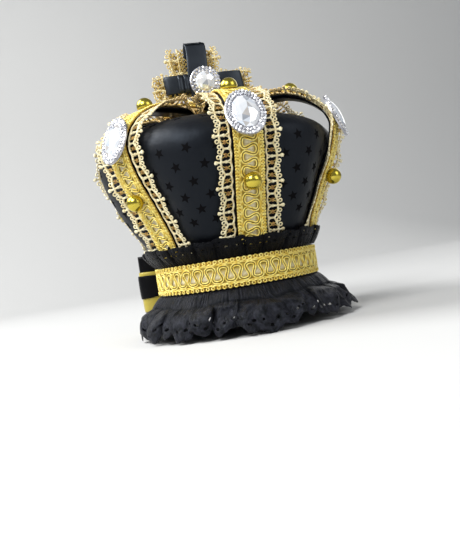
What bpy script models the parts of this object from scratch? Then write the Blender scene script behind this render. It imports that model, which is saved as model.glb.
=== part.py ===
"""Mini crown: a puffed satin cap on a gold-braided band, under six arches and a ribbon cross.

The frame: +Z is up, the front arch and the cross face -Y, and the floor is at z = 0,
where the points of the lower ruffle's hem stand. All sizes are in metres.
"""
import math

import bmesh
import bpy
from mathutils import Matrix, Vector

# Fits
GAP = 0.0003              # between two pieces that lie on each other

# Base ring and the braid round it
BASE_RADIUS = 0.0557      # outside of the stiff ring
BASE_WALL = 0.0032
BASE_SKIRT = 0.003        # how far the ring shows below the braid
BAND_HEIGHT = 0.020
BAND_THICK = 0.0013
BAND_EDGE = 0.0017        # thickness at the two looped edges of the braid

# Lower ruffle
RUFFLE_DROP = 0.030       # braid's lower edge down to the floor
RUFFLE_FLARE = 0.0156     # how far the hem stands out beyond the top edge
RUFFLE_FOLD = 0.005       # depth of the folds at the hem
RUFFLE_FOLDS = 18
RUFFLE_WALL = 0.0012
HEM_POINT = 0.0034        # height of the points along the hem
HEM_RISE = 0.004          # how much shorter the ruffle is at the front

# Upper frill
FRILL_HEIGHT = 0.0102
FRILL_FLARE = 0.0084
FRILL_FOLD = 0.0014
FRILL_FOLDS = 18
FRILL_WALL = 0.001
FRILL_POINT = 0.002

# Puffed cap
CAP_RADIUS = 0.081        # largest radius under the arches
CAP_HEIGHT = 0.0972       # top of the braid to the crown of the dome
CAP_FULLNESS = 0.0115     # how far a panel swells between two arches
CAP_WALL = 0.0015
CAP_LEAN = 0.08           # slope of the soft dome, lower towards +X
CAP_SEGMENTS = 36

# Arches
ARCH_COUNT = 6
ARCH_FOOT = 0.0046        # foot of the arches above the braid's top edge
ARCH_CLEARANCE = 0.0008   # from the cap to the lining
ARCH_STANDOFF = 0.0055    # from the top of the cap to the lining at the centre
LINING_THICK = 0.001
LACE_THICK = 0.001
BRAID_THICK = 0.0016
BRAID_WIDTH = 0.0194
LACE_WIDTH = 0.0425
LACE_CUP = 0.003          # how far the lace's edges stand up
LACE_SCALLOPS = 8         # pierced scallops on each side of an arch
LACE_REACH = 0.83         # share of the arch that has them
END_STATIONS = 2          # stations between the last scallop and the centre

# Beads and jewels, with their places as shares of the arch's length
BEAD_RADIUS = 0.0055
BEAD_BACK = 0.0016        # depth of the flat on a bead's back
TOP_BEAD_BACK = 0.0048    # the same on the half-round beads on top
BEAD_SIDES = 10
BEAD_STATION = 0.30
TOP_BEAD_STATION = 0.75
JEWEL_STATION = 0.54
JEWEL_WIDTH = 0.025
JEWEL_LENGTH = 0.031
JEWEL_HEIGHT = 0.0026
STONE_WIDTH = 0.0148
STONE_LENGTH = 0.0198
STONE_HEIGHT = 0.0036
JEWEL_SIDES = 12

# Disc where the arches meet
DISC_RADIUS = 0.0182
DISC_RIM = 0.0005         # how far the disc stands above the arches

# Cross
CROSS_RISE = 0.0185       # centre above the disc
CROSS_LEAN = 0.10         # how far the soft cross leans to -X, as a slope
CROSS_ARM = 0.029         # centre to the end of each arm
UPRIGHT_WIDTH = 0.016
UPRIGHT_DEPTH = 0.005
CROSSBAR_HEIGHT = 0.014
CROSSBAR_DEPTH = 0.0056
RIBBON_THICK = 0.001
CROSS_LACE_WIDTH = 0.041
CROSS_LACE_TOP = 0.0245   # upright lace above the centre
CROSS_LACE_LOW = 0.008    # upright lace below the centre
BAR_LACE_OVERHANG = 0.007
BAR_LACE_HEIGHT = 0.017
ROUND_JEWEL = 0.022
ROUND_STONE = 0.014

# Bow at the back
BOW_HALF = 0.066          # centre to the end of a loop
BOW_DEPTH = 0.0125        # inside depth of a loop
BOW_STANDOFF = 0.0046     # from the braid to the bow, room for the frill and the ruffle
BOW_CENTRE = -0.001       # below the middle of the braid
BOW_SAG = 0.0025          # how much lower the ends of the loops hang
BOW_WIDE = 0.054
BOW_GOLD = 0.035
BOW_NARROW = 0.020
BOW_GOLD_DROP = 0.004
BOW_PINCH = 0.28          # share of the width that is left at the knot
KNOT_WIDTH = 0.012
KNOT_WALL = 0.0012

# Side of the cap: height as a share of CAP_HEIGHT, swell from the neck to CAP_RADIUS,
# and the panel's fullness as a share of CAP_FULLNESS
SIDE_ROWS = [
    # rise, swell, fullness
    (0.000, 0.000, 0.00),
    (0.100, 0.018, 0.40),
    (0.215, 0.105, 0.82),
    (0.325, 0.280, 1.00),
    (0.430, 0.460, 1.00),
    (0.530, 0.665, 0.85),
    (0.635, 0.860, 0.65),
    (0.740, 0.985, 0.50),
]
# Shoulder and dome: height and radius as shares of CAP_HEIGHT and CAP_RADIUS
DOME_ROWS = [
    # rise, reach, fullness
    (0.826, 0.965, 0.45),
    (0.895, 0.845, 0.35),
    (0.948, 0.640, 0.20),
    (0.985, 0.370, 0.10),
]
# Free part of an arch: radius as a share of CAP_RADIUS, height as a share of the way
# from where it leaves the cap to its top
FREE_ROWS = [
    # reach, rise
    (1.014, 0.270),
    (0.965, 0.510),
    (0.880, 0.735),
    (0.772, 0.895),
    (0.670, 0.983),
    (0.565, 1.000),
    (0.440, 1.000),
    (0.320, 0.988),
]
# Ruffle and frill: share of the drop or height, share of the flare, share of the fold
RUFFLE_ROWS = [
    (0.00, 0.00, 0.05),
    (0.30, 0.28, 0.32),
    (0.65, 0.64, 0.64),
    (1.00, 1.00, 1.00),
]
FRILL_ROWS = [
    (0.00, 0.00, 0.00),
    (0.28, 0.50, 0.15),
    (1.00, 1.00, 1.00),
]
FOLD_DEPTHS = [1.0, 0.7, 1.15, 0.85, 1.1, 0.6, 0.95]   # share of the depth, fold by fold

# Worked out from the sizes above
BAND_BOTTOM = RUFFLE_DROP
BAND_MIDDLE = BAND_BOTTOM + BAND_HEIGHT / 2
BAND_TOP = BAND_BOTTOM + BAND_HEIGHT
NECK_RADIUS = BASE_RADIUS - BASE_WALL + CAP_WALL
BAND_OUTSIDE = BASE_RADIUS + GAP + BAND_EDGE
LACE_LIFT = LINING_THICK + GAP
BRAID_LIFT = LACE_LIFT + LACE_THICK + GAP
STACK = BRAID_LIFT + BRAID_THICK
ARCH_STEP = 2 * math.pi / ARCH_COUNT
ARCH_END = DISC_RADIUS + GAP
CAP_CENTRE = Vector((0.0, 0.0, BAND_TOP + CAP_HEIGHT / 2))
UP = Vector((0.0, 0.0, 1.0))
BOW_SEAT = BAND_OUTSIDE + BOW_STANDOFF


def material(name, colour, roughness, metallic=0.0):
    """A Principled material of one colour."""
    made = bpy.data.materials.new(name)
    made.use_nodes = True
    shader = made.node_tree.nodes["Principled BSDF"]
    shader.inputs["Base Color"].default_value = (*colour, 1.0)
    shader.inputs["Roughness"].default_value = roughness
    shader.inputs["Metallic"].default_value = metallic
    return made


def finish(name, bm, look, wall=0.0, smooth=40.0):
    """Link a bmesh as an object, with an outward Solidify wall if it is a sheet."""
    mesh = bpy.data.meshes.new(name)
    bm.to_mesh(mesh)
    bm.free()
    mesh.materials.append(look(name))
    mesh.shade_smooth()
    mesh.set_sharp_from_angle(angle=math.radians(smooth))
    made = bpy.data.objects.new(name, mesh)
    bpy.context.collection.objects.link(made)
    if wall:
        solid = made.modifiers.new("wall", "SOLIDIFY")
        solid.thickness = abs(wall)
        solid.offset = math.copysign(1.0, wall)
        solid.use_even_offset = True
    return made


def face_sheet_outwards(bm):
    """Turn an open sheet's faces away from the middle of the cap."""
    bmesh.ops.recalc_face_normals(bm, faces=bm.faces)
    facing = sum(f.normal.dot(f.calc_center_median() - CAP_CENTRE) * f.calc_area() for f in bm.faces)
    if facing < 0:
        bmesh.ops.reverse_faces(bm, faces=bm.faces)


def face_solid_outwards(bm):
    bmesh.ops.recalc_face_normals(bm, faces=bm.faces)


def smooth_rows(rows, steps):
    """Catmull-Rom rows between the table's rows, `steps` to each interval."""
    ends = [rows[0]] + list(rows) + [rows[-1]]
    out = []
    for i in range(1, len(ends) - 2):
        a, b, c, d = ends[i - 1:i + 3]
        for k in range(steps):
            t = k / steps
            out.append(tuple(
                0.5 * (2 * q + (r - p) * t + (2 * p - 5 * q + 4 * r - s) * t * t
                       + (3 * q - p - 3 * r + s) * t ** 3)
                for p, q, r, s in zip(a, b, c, d)))
    out.append(tuple(rows[-1]))
    return out


def between(rows, x, column):
    """Read a column of a table at x in its first column, straight between rows."""
    for low, high in zip(rows, rows[1:]):
        if x <= high[0]:
            share = max(0.0, (x - low[0]) / (high[0] - low[0]))
            return low[column] + (high[column] - low[column]) * share
    return rows[-1][column]


def swell_at(turn):
    """0 at an arch, 1 in the middle of a panel."""
    return (1 - math.cos(ARCH_COUNT * turn)) / 2


def side_radius(swell):
    return NECK_RADIUS + (CAP_RADIUS - NECK_RADIUS) * swell


def polar(turn, radius, z):
    """A point at an angle from the front, -Y, turning towards +X."""
    return Vector((radius * math.sin(turn), -radius * math.cos(turn), z))


def skin_rings(bm, rings, closed=True):
    """Quads between successive rings of the same number of vertices."""
    for low, high in zip(rings, rings[1:]):
        count = len(low)
        for i in range(count if closed else count - 1):
            j = (i + 1) % count
            bm.faces.new((low[i], low[j], high[j], high[i]))


def turned(bm, profile, sides, matrix=Matrix.Identity(4), stretch=1.0):
    """Spin a closed profile of (radius, height) points round Z into a ring-shaped solid."""
    rings = []
    for radius, height in profile:
        ring = []
        for k in range(sides):
            angle = 2 * math.pi * k / sides
            place = Vector((radius * math.cos(angle), radius * stretch * math.sin(angle), height))
            ring.append(bm.verts.new(matrix @ place))
        rings.append(ring)
    return rings


def ring_solid(name, look, profile, sides, smooth=40.0):
    """A ring whose section is a closed profile."""
    bm = bmesh.new()
    rings = turned(bm, profile, sides)
    skin_rings(bm, rings + rings[:1])
    face_solid_outwards(bm)
    return finish(name, bm, look, smooth=smooth)


def plug_solid(name, look, profile, sides, matrix, stretch=1.0, smooth=40.0, twist=False):
    """A solid of rings closed by a flat face at both ends."""
    bm = bmesh.new()
    rings = turned(bm, profile, sides, matrix, stretch)
    if twist:
        facet_rows(bm, rings)
    else:
        skin_rings(bm, rings)
    bm.faces.new(rings[0])
    bm.faces.new(rings[-1])
    face_solid_outwards(bm)
    return finish(name, bm, look, smooth=smooth)


def facet_rows(bm, rings):
    """Triangular facets between rings, as on a cut stone."""
    for low, high in zip(rings, rings[1:]):
        for i in range(len(low)):
            j = (i + 1) % len(low)
            bm.faces.new((low[i], low[j], high[i]))
            bm.faces.new((low[j], high[j], high[i]))


# Looks
def black_satin(name):
    return material(name, (0.012, 0.013, 0.018), 0.42)


def black_lace(name):
    return material(name, (0.012, 0.012, 0.014), 0.75)


def gold_braid(name):
    return material(name, (0.72, 0.50, 0.12), 0.38, 0.75)


def gold_lace(name):
    return material(name, (0.66, 0.52, 0.28), 0.5, 0.4)


def plated_gold(name):
    return material(name, (0.85, 0.62, 0.12), 0.16, 1.0)


def silver(name):
    return material(name, (0.78, 0.78, 0.80), 0.25, 1.0)


def crystal(name):
    return material(name, (0.80, 0.86, 0.93), 0.05, 0.2)


def gold_satin(name):
    return material(name, (0.74, 0.58, 0.10), 0.38)


# Cap and band
def make_base_ring():
    low = BAND_BOTTOM - BASE_SKIRT
    inside = BASE_RADIUS - BASE_WALL
    profile = [(inside, low), (BASE_RADIUS, low), (BASE_RADIUS, BAND_TOP), (inside, BAND_TOP)]
    ring_solid("base_ring", black_satin, profile, CAP_SEGMENTS)


def make_band_braid():
    inside = BASE_RADIUS + GAP
    edge = BAND_HEIGHT * 0.15
    profile = [
        (inside, BAND_BOTTOM), (inside + BAND_EDGE, BAND_BOTTOM),
        (inside + BAND_THICK, BAND_BOTTOM + edge), (inside + BAND_THICK, BAND_TOP - edge),
        (inside + BAND_EDGE, BAND_TOP), (inside, BAND_TOP),
    ]
    ring_solid("band_braid", gold_braid, profile, CAP_SEGMENTS)


def cap_rows():
    """(radius, height, fullness) up the cap, from its lower edge to the last ring of the dome."""
    foot = BAND_TOP + GAP
    height = BAND_TOP + CAP_HEIGHT - foot
    rows = [(side_radius(swell), foot + height * rise, full) for rise, swell, full in SIDE_ROWS]
    rows += [(CAP_RADIUS * reach, foot + height * rise, full) for rise, reach, full in DOME_ROWS]
    return rows


def cap_lean(x, z):
    """The soft dome is a little lower towards +X above the widest rows."""
    start = BAND_TOP + CAP_HEIGHT * SIDE_ROWS[-1][0]
    share = max(0.0, (z - start) / (BAND_TOP + CAP_HEIGHT - start))
    return -CAP_LEAN * x * min(1.0, share * 1.3)


def make_puff_cap():
    bm = bmesh.new()
    rings = []
    for radius, z, full in cap_rows():
        ring = []
        for k in range(CAP_SEGMENTS):
            turn = 2 * math.pi * k / CAP_SEGMENTS
            place = polar(turn, radius + CAP_FULLNESS * full * swell_at(turn), z)
            place.z += cap_lean(place.x, z)
            ring.append(bm.verts.new(place))
        rings.append(ring)
    skin_rings(bm, rings)
    top = bm.verts.new((0.0, 0.0, BAND_TOP + CAP_HEIGHT))
    for i, vert in enumerate(rings[-1]):
        bm.faces.new((vert, rings[-1][(i + 1) % CAP_SEGMENTS], top))
    face_sheet_outwards(bm)
    finish("puff_cap", bm, black_satin, wall=-CAP_WALL, smooth=60.0)


def behind_bow(turn, wall):
    """Largest radius that lets a sheet of this wall lie flat under the bow at the back."""
    ahead = -math.cos(turn)
    if ahead < 0.2:
        return 1.0
    return (BOW_SEAT - GAP - wall) / ahead


def fold_wave(turn, folds, depths):
    """Outward and inward folds round the crown, each with its own depth."""
    place = turn / (2 * math.pi) * folds
    depth = depths[int(place + 0.5) % folds % len(depths)]
    return depth * math.cos(2 * math.pi * place)


def make_lower_ruffle():
    top = BAND_BOTTOM - GAP - RUFFLE_WALL * 0.6
    inner = BASE_RADIUS + GAP + RUFFLE_FOLD * 0.08
    bow_low = BAND_MIDDLE + BOW_CENTRE - BOW_SAG - BOW_WIDE / 2
    sides = RUFFLE_FOLDS * 4
    bm = bmesh.new()
    rings = []
    for drop, flare, fold in RUFFLE_ROWS:
        ring = []
        for k in range(sides):
            turn = 2 * math.pi * k / sides
            radius = inner + RUFFLE_FLARE * flare
            radius += RUFFLE_FOLD * fold * fold_wave(turn, RUFFLE_FOLDS, FOLD_DEPTHS)
            z = top * (1 - drop) + HEM_RISE * drop * max(0.0, math.cos(turn)) ** 2
            if drop == 1.0 and k % 2:
                z += HEM_POINT
            free = max(0.0, bow_low - z) * 1.2
            radius = max(inner, min(radius, behind_bow(turn, RUFFLE_WALL) + free))
            ring.append(bm.verts.new(polar(turn, radius, z)))
        rings.append(ring)
    skin_rings(bm, rings)
    face_sheet_outwards(bm)
    finish("lower_ruffle", bm, black_lace, wall=RUFFLE_WALL, smooth=50.0)


def make_upper_frill():
    foot = BAND_TOP + GAP + FRILL_WALL * 0.8
    inner = BASE_RADIUS + GAP + FRILL_WALL * 0.6
    sides = FRILL_FOLDS * 3
    bm = bmesh.new()
    rings = []
    for rise, flare, fold in FRILL_ROWS:
        ring = []
        for k in range(sides):
            turn = 2 * math.pi * k / sides
            radius = inner + FRILL_FLARE * flare
            radius += FRILL_FOLD * fold * fold_wave(turn, FRILL_FOLDS, FOLD_DEPTHS[:5])
            z = foot + FRILL_HEIGHT * rise
            if rise == 1.0:
                z += FRILL_POINT * (0.5 if k % 3 else -0.5)
            radius = min(radius, behind_bow(turn, FRILL_WALL))
            ring.append(bm.verts.new(polar(turn, radius, z)))
        rings.append(ring)
    skin_rings(bm, rings)
    face_sheet_outwards(bm)
    finish("upper_frill", bm, black_lace, wall=FRILL_WALL, smooth=50.0)


class ArchPath:
    """The line that the lining's inner face follows, from its foot to the centre disc."""

    def __init__(self):
        foot = BAND_TOP + GAP
        height = BAND_TOP + CAP_HEIGHT - foot
        side = [(side_radius(swell), foot + height * rise)
                for rise, swell, full in smooth_rows(SIDE_ROWS, 3)]
        start = BAND_TOP + ARCH_FOOT
        points = []
        for i, (radius, z) in enumerate(side):
            before, after = side[max(0, i - 1)], side[min(len(side) - 1, i + 1)]
            run = math.hypot(after[0] - before[0], after[1] - before[1])
            points.append((radius + ARCH_CLEARANCE * (after[1] - before[1]) / run,
                           z - ARCH_CLEARANCE * (after[0] - before[0]) / run))
        points = self.cut_foot(points, start)
        leave = points[-1]
        self.leave_height = leave[1]
        top = BAND_TOP + CAP_HEIGHT + ARCH_STANDOFF
        free = [leave] + [(CAP_RADIUS * reach, leave[1] + (top - leave[1]) * rise)
                          for reach, rise in FREE_ROWS]
        free.append((ARCH_END, top - (top - leave[1]) * 0.03))
        self.points = points[:-1] + smooth_rows([points[-1]] + free[1:], 4)
        self.lengths = [0.0]
        for a, b in zip(self.points, self.points[1:]):
            self.lengths.append(self.lengths[-1] + math.hypot(b[0] - a[0], b[1] - a[1]))
        self.length = self.lengths[-1]
        self.leave_length = self.lengths[len(points) - 1]

    @staticmethod
    def cut_foot(points, start):
        kept = [p for p in points if p[1] > start]
        below = points[len(points) - len(kept) - 1]
        share = (start - below[1]) / (kept[0][1] - below[1])
        return [(below[0] + (kept[0][0] - below[0]) * share, start)] + kept

    def at(self, s):
        """(radius, z, tangent, outward normal) at a distance along the arch."""
        s = min(max(s, 0.0), self.length)
        i = next(k for k in range(1, len(self.lengths)) if s <= self.lengths[k] + 1e-12)
        a, b = self.points[i - 1], self.points[i]
        run = self.lengths[i] - self.lengths[i - 1]
        share = (s - self.lengths[i - 1]) / run
        before, after = self.points[max(0, i - 2)], self.points[min(len(self.points) - 1, i + 1)]
        wide = math.hypot(after[0] - before[0], after[1] - before[1])
        tangent = ((after[0] - before[0]) / wide, (after[1] - before[1]) / wide)
        radius = a[0] + (b[0] - a[0]) * share
        z = a[1] + (b[1] - a[1]) * share
        return radius, z, tangent, (tangent[1], -tangent[0])

    def hug(self, s):
        """1 where the arch lies on the cap, 0 where it stands free."""
        fade = LACE_WIDTH * 0.4
        return min(1.0, max(0.0, 1.0 - (s - self.leave_length) / fade))

    def place(self, turn, s, across, lift):
        """A point of the arch at this turn, across its width and lifted off the lining's face."""
        radius, z, tangent, normal = self.at(s)
        radius += lift * normal[0]
        z += lift * normal[1]
        rise = (z - BAND_TOP) / CAP_HEIGHT
        full = CAP_FULLNESS * between(SIDE_ROWS, rise, 2)
        angle = across / radius
        hug = self.hug(s)
        past = max(0.0, abs(across) - BRAID_WIDTH / 2) / (LACE_WIDTH / 2 - BRAID_WIDTH / 2)
        cup = LACE_CUP * past * min(1.0, radius / CAP_RADIUS, 2 * s / self.length)
        swollen = radius + cup + full * swell_at(angle)
        out = Vector((math.sin(turn), -math.cos(turn), 0.0))
        side = Vector((math.cos(turn), math.sin(turn), 0.0))
        lain = out * swollen * math.cos(angle) + side * swollen * math.sin(angle)
        flat = out * radius + side * across
        flat += (out * normal[0] + UP * normal[1]) * cup
        return lain * hug + flat * (1 - hug) + UP * z

    def half_width(self, s, half):
        """Half a ribbon's width, mitred where neighbouring arches meet at the centre."""
        radius = self.at(s)[0]
        return min(half, (radius - 2 * GAP) * math.tan(ARCH_STEP / 2))

    def stations(self):
        """Distances along the arch where every ribbon on it bends: two to a scallop."""
        step = self.length * LACE_REACH / LACE_SCALLOPS / 2
        last = step * 2 * LACE_SCALLOPS
        rest = (self.length - last) / END_STATIONS
        return ([step * k for k in range(2 * LACE_SCALLOPS + 1)]
                + [last + rest * k for k in range(1, END_STATIONS + 1)])

    def frame(self, turn, s, lift):
        """Matrix with Z out of the braid's face, Y up along it and its origin on its middle."""
        tangent, normal = self.at(s)[2:]
        out = Vector((math.sin(turn), -math.cos(turn), 0.0))
        y_axis = out * tangent[0] + UP * tangent[1]
        z_axis = out * normal[0] + UP * normal[1]
        x_axis = y_axis.cross(z_axis)
        made = Matrix((x_axis, y_axis, z_axis)).transposed().to_4x4()
        edges = [self.place(turn, s, side * BRAID_WIDTH / 2, lift) for side in (-1, 1)]
        made.translation = (edges[0] + edges[1]) / 2
        return made


def arch_strip(name, look, path, turn, width, lift, thick):
    """A plain ribbon along an arch."""
    bm = bmesh.new()
    rows = []
    for s in path.stations():
        half = path.half_width(s, width / 2)
        rows.append([bm.verts.new(path.place(turn, s, side * half, lift)) for side in (-1, 1)])
    skin_rings(bm, rows, closed=False)
    face_sheet_outwards(bm)
    finish(name, bm, look, wall=thick, smooth=50.0)


def scallop_side(bm, path, turn, side, middle, pitch):
    """One scalloped, pierced edge of an arch's lace, joined to the middle strip's vertices."""
    inner = BRAID_WIDTH / 2
    deep = LACE_WIDTH / 2 - inner

    def vert(s, share):
        return bm.verts.new(path.place(turn, s, side * (inner + deep * share), LACE_LIFT))

    low = vert(0.0, 0.66)
    for k in range(LACE_SCALLOPS):
        start = pitch * k
        left, right = vert(start + pitch * 0.22, 0.30), vert(start + pitch * 0.78, 0.30)
        tip = vert(start + pitch * 0.5, 0.70)
        first, last = vert(start + pitch * 0.28, 1.0), vert(start + pitch * 0.72, 1.0)
        high = vert(start + pitch, 0.66)
        here, half_way, there = middle[2 * k:2 * k + 3]
        bm.faces.new((here, half_way, there, right, left))
        bm.faces.new((here, left, low))
        bm.faces.new((there, high, right))
        bm.faces.new((low, left, tip, first))
        bm.faces.new((first, tip, last))
        bm.faces.new((last, tip, right, high))
        low = high
    return low


def make_arch_lace(name, path, turn):
    """Scalloped gold lace under the braid, pierced once in each scallop, plain near the centre."""
    bm = bmesh.new()
    stations = path.stations()
    pitch = stations[2]
    edges = {}
    for side in (-1, 1):
        edges[side] = [bm.verts.new(path.place(turn, s, side * BRAID_WIDTH / 2, LACE_LIFT))
                       for s in stations[:-END_STATIONS]]
    for k in range(2 * LACE_SCALLOPS):
        bm.faces.new((edges[-1][k], edges[1][k], edges[1][k + 1], edges[-1][k + 1]))
    ends = {side: scallop_side(bm, path, turn, side, edges[side], pitch) for side in (-1, 1)}
    row = [ends[-1], edges[-1][-1], edges[1][-1], ends[1]]
    for s in stations[-END_STATIONS:]:
        half = path.half_width(s, LACE_WIDTH / 2)
        inner = min(BRAID_WIDTH / 2, half * 0.95)
        after = [bm.verts.new(path.place(turn, s, across, LACE_LIFT))
                 for across in (-half, -inner, inner, half)]
        skin_rings(bm, [row, after], closed=False)
        row = after
    face_sheet_outwards(bm)
    finish(name, bm, gold_lace, wall=LACE_THICK, smooth=50.0)


def make_bead(name, path, turn, station, back):
    """A plated ball with a flat on its back, where it is sewn down on an arch."""
    matrix = path.frame(turn, path.length * station, STACK + GAP + BEAD_RADIUS - back)
    flat = -math.asin((BEAD_RADIUS - back) / BEAD_RADIUS)
    profile = [(BEAD_RADIUS * math.cos(angle), BEAD_RADIUS * math.sin(angle))
               for angle in (flat, math.radians(-2), math.radians(42))]
    bm = bmesh.new()
    rings = turned(bm, profile, BEAD_SIDES, matrix)
    skin_rings(bm, rings)
    bm.faces.new(rings[0])
    top = bm.verts.new(matrix @ Vector((0.0, 0.0, BEAD_RADIUS)))
    for i, vert in enumerate(rings[-1]):
        bm.faces.new((vert, rings[-1][(i + 1) % BEAD_SIDES], top))
    face_solid_outwards(bm)
    finish(name, bm, plated_gold, smooth=50.0)


def make_jewel(label, matrix, wide, long, stone_wide, stone_long):
    """A set stone: a dished halo with a faceted stone in its recess."""
    stretch = long / wide
    floor = JEWEL_HEIGHT * 0.45
    seat = stone_wide / wide + 2 * GAP / wide
    halo = [(wide / 2, 0.0), (wide / 2, JEWEL_HEIGHT * 0.7),
            (wide / 2 * (seat + 0.06), JEWEL_HEIGHT), (wide / 2 * seat, floor)]
    plug_solid(label + "_setting", silver, halo, JEWEL_SIDES, matrix, stretch)
    stone = [(stone_wide * 0.44, floor + GAP), (stone_wide * 0.49, floor + STONE_HEIGHT * 0.35),
             (stone_wide * 0.27, floor + STONE_HEIGHT)]
    plug_solid(label + "_stone", crystal, stone, JEWEL_SIDES, matrix, stone_long / stone_wide,
               smooth=5.0, twist=True)


def make_arches(path):
    for k in range(ARCH_COUNT):
        turn = ARCH_STEP * k
        mark = "_%d" % (k + 1)
        arch_strip("arch_lining" + mark, black_satin, path, turn, BRAID_WIDTH, 0.0, LINING_THICK)
        make_arch_lace("arch_lace" + mark, path, turn)
        arch_strip("arch_braid" + mark, gold_braid, path, turn, BRAID_WIDTH, BRAID_LIFT, BRAID_THICK)
        make_bead("arch_bead" + mark, path, turn, BEAD_STATION, BEAD_BACK)
        make_bead("top_bead" + mark, path, turn, TOP_BEAD_STATION, TOP_BEAD_BACK)
        seat = path.frame(turn, path.length * JEWEL_STATION, STACK + GAP)
        make_jewel("jewel" + mark, seat, JEWEL_WIDTH, JEWEL_LENGTH, STONE_WIDTH, STONE_LENGTH)


def disc_heights(path):
    low = path.points[-1][1]
    return low, low + STACK + DISC_RIM


def make_top_disc(path):
    low, high = disc_heights(path)
    plug_solid("top_disc", gold_lace, [(DISC_RADIUS, low), (DISC_RADIUS, high)], 24,
               Matrix.Identity(4))


# Ribbon loops
def offset_path(points, distance, closed):
    """The path moved sideways, to the right of its direction."""
    out = []
    count = len(points)
    for i in range(count):
        before = points[(i - 1) % count if closed else max(0, i - 1)]
        after = points[(i + 1) % count if closed else min(count - 1, i + 1)]
        run = math.hypot(after[0] - before[0], after[1] - before[1])
        out.append((points[i][0] + distance * (after[1] - before[1]) / run,
                    points[i][1] - distance * (after[0] - before[0]) / run))
    return out


def ribbon(name, look, points, thick, reach, closed, lay):
    """A ribbon along a 2-D path; reach(x) gives its two edges there and lay places each point."""
    bm = bmesh.new()
    rings = []
    sides = [offset_path(points, thick / 2, closed), offset_path(points, -thick / 2, closed)]
    for middle, right, left in zip(points, *sides):
        low, high = reach(middle)
        rings.append([bm.verts.new(lay(right, low)), bm.verts.new(lay(right, high)),
                      bm.verts.new(lay(left, high)), bm.verts.new(lay(left, low))])
    skin_rings(bm, rings + (rings[:1] if closed else []))
    if not closed:
        bm.faces.new(rings[0])
        bm.faces.new(rings[-1])
    face_solid_outwards(bm)
    return finish(name, bm, look, smooth=50.0)


def loop_points(low, high, front, back):
    """A flat loop with rounded ends, from low to high, between front and back."""
    middle, half = (front + back) / 2, (back - front) / 2
    points = []
    for end, start in ((high - half, 0.0), (low + half, math.pi)):
        for k in range(5):
            angle = start + math.pi * k / 4
            points.append((end + half * math.sin(angle), middle - half * math.cos(angle)))
    return points


def make_cross(path):
    base = disc_heights(path)[1] + GAP
    centre = base + CROSS_RISE
    lean = Matrix(((1, 0, -CROSS_LEAN, CROSS_LEAN * base), (0, 1, 0, 0), (0, 0, 1, 0), (0, 0, 0, 1)))
    half_thick = RIBBON_THICK / 2
    front, back = -UPRIGHT_DEPTH / 2 + half_thick, UPRIGHT_DEPTH / 2 - half_thick
    upright = loop_points(base + half_thick, centre + CROSS_ARM - half_thick, front, back)
    across = UPRIGHT_WIDTH / 2
    ribbon("cross_upright", black_satin, upright, RIBBON_THICK, lambda p: (-across, across), True,
           lambda p, w: lean @ Vector((w, p[1], p[0])))
    tall = CROSSBAR_HEIGHT / 2
    bar_front = -CROSSBAR_DEPTH + UPRIGHT_DEPTH / 2 + half_thick
    bar = loop_points(across + GAP + half_thick, CROSS_ARM - half_thick, bar_front, back)
    for side, label in ((-1, "cross_bar_left"), (1, "cross_bar_right")):
        ribbon(label, black_satin, bar, RIBBON_THICK, lambda p: (centre - tall, centre + tall), True,
               lambda p, w, side=side: lean @ Vector((side * p[0], p[1], w)))
    lace = UPRIGHT_DEPTH / 2 + GAP
    wide = 2 * (CROSS_ARM + BAR_LACE_OVERHANG)
    lace_plate("cross_lace_bar", wide, BAR_LACE_HEIGHT, 6, 1, lace, centre, lean)
    tall = CROSS_LACE_TOP + CROSS_LACE_LOW
    lace_plate("cross_lace_upright", CROSS_LACE_WIDTH, tall, 4, 3, lace + LACE_THICK + GAP,
               centre + (CROSS_LACE_TOP - CROSS_LACE_LOW) / 2, lean)
    front_face = -CROSSBAR_DEPTH + UPRIGHT_DEPTH / 2 - GAP
    seat = Matrix.Translation(lean @ Vector((0.0, front_face, centre)))
    seat = seat @ Matrix.Rotation(math.pi / 2, 4, "X")
    make_jewel("cross_jewel", seat, ROUND_JEWEL, ROUND_JEWEL, ROUND_STONE, ROUND_STONE)


def lace_plate(name, width, height, along, up, y, z, lean):
    """A flat piece of lace with a scalloped outline, `along` and `up` scallops to its sides."""
    deep = LACE_WIDTH * 0.05
    half_x, half_z = width / 2 - deep, height / 2 - deep
    corners = [(-half_x, -half_z), (half_x, -half_z), (half_x, half_z), (-half_x, half_z)]
    bm = bmesh.new()
    outline = []
    for k, (x, dz) in enumerate(corners):
        after = corners[(k + 1) % 4]
        count = up if k % 2 else along
        step = ((after[0] - x) / count, (after[1] - dz) / count)
        run = math.hypot(*step)
        out = (step[1] / run * deep, -step[0] / run * deep)
        for i in range(count):
            for share, lift in ((0.0, 0.0), (0.28, 1.0), (0.72, 1.0)):
                place = Vector((x + step[0] * (i + share) + out[0] * lift, y,
                                z + dz + step[1] * (i + share) + out[1] * lift))
                outline.append(bm.verts.new(lean @ place))
    face = bm.faces.new(outline)
    grown = bmesh.ops.extrude_face_region(bm, geom=[face])
    moved = [v for v in grown["geom"] if isinstance(v, bmesh.types.BMVert)]
    bmesh.ops.translate(bm, verts=moved, vec=(0.0, LACE_THICK, 0.0))
    face_solid_outwards(bm)
    finish(name, bm, gold_lace)


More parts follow.
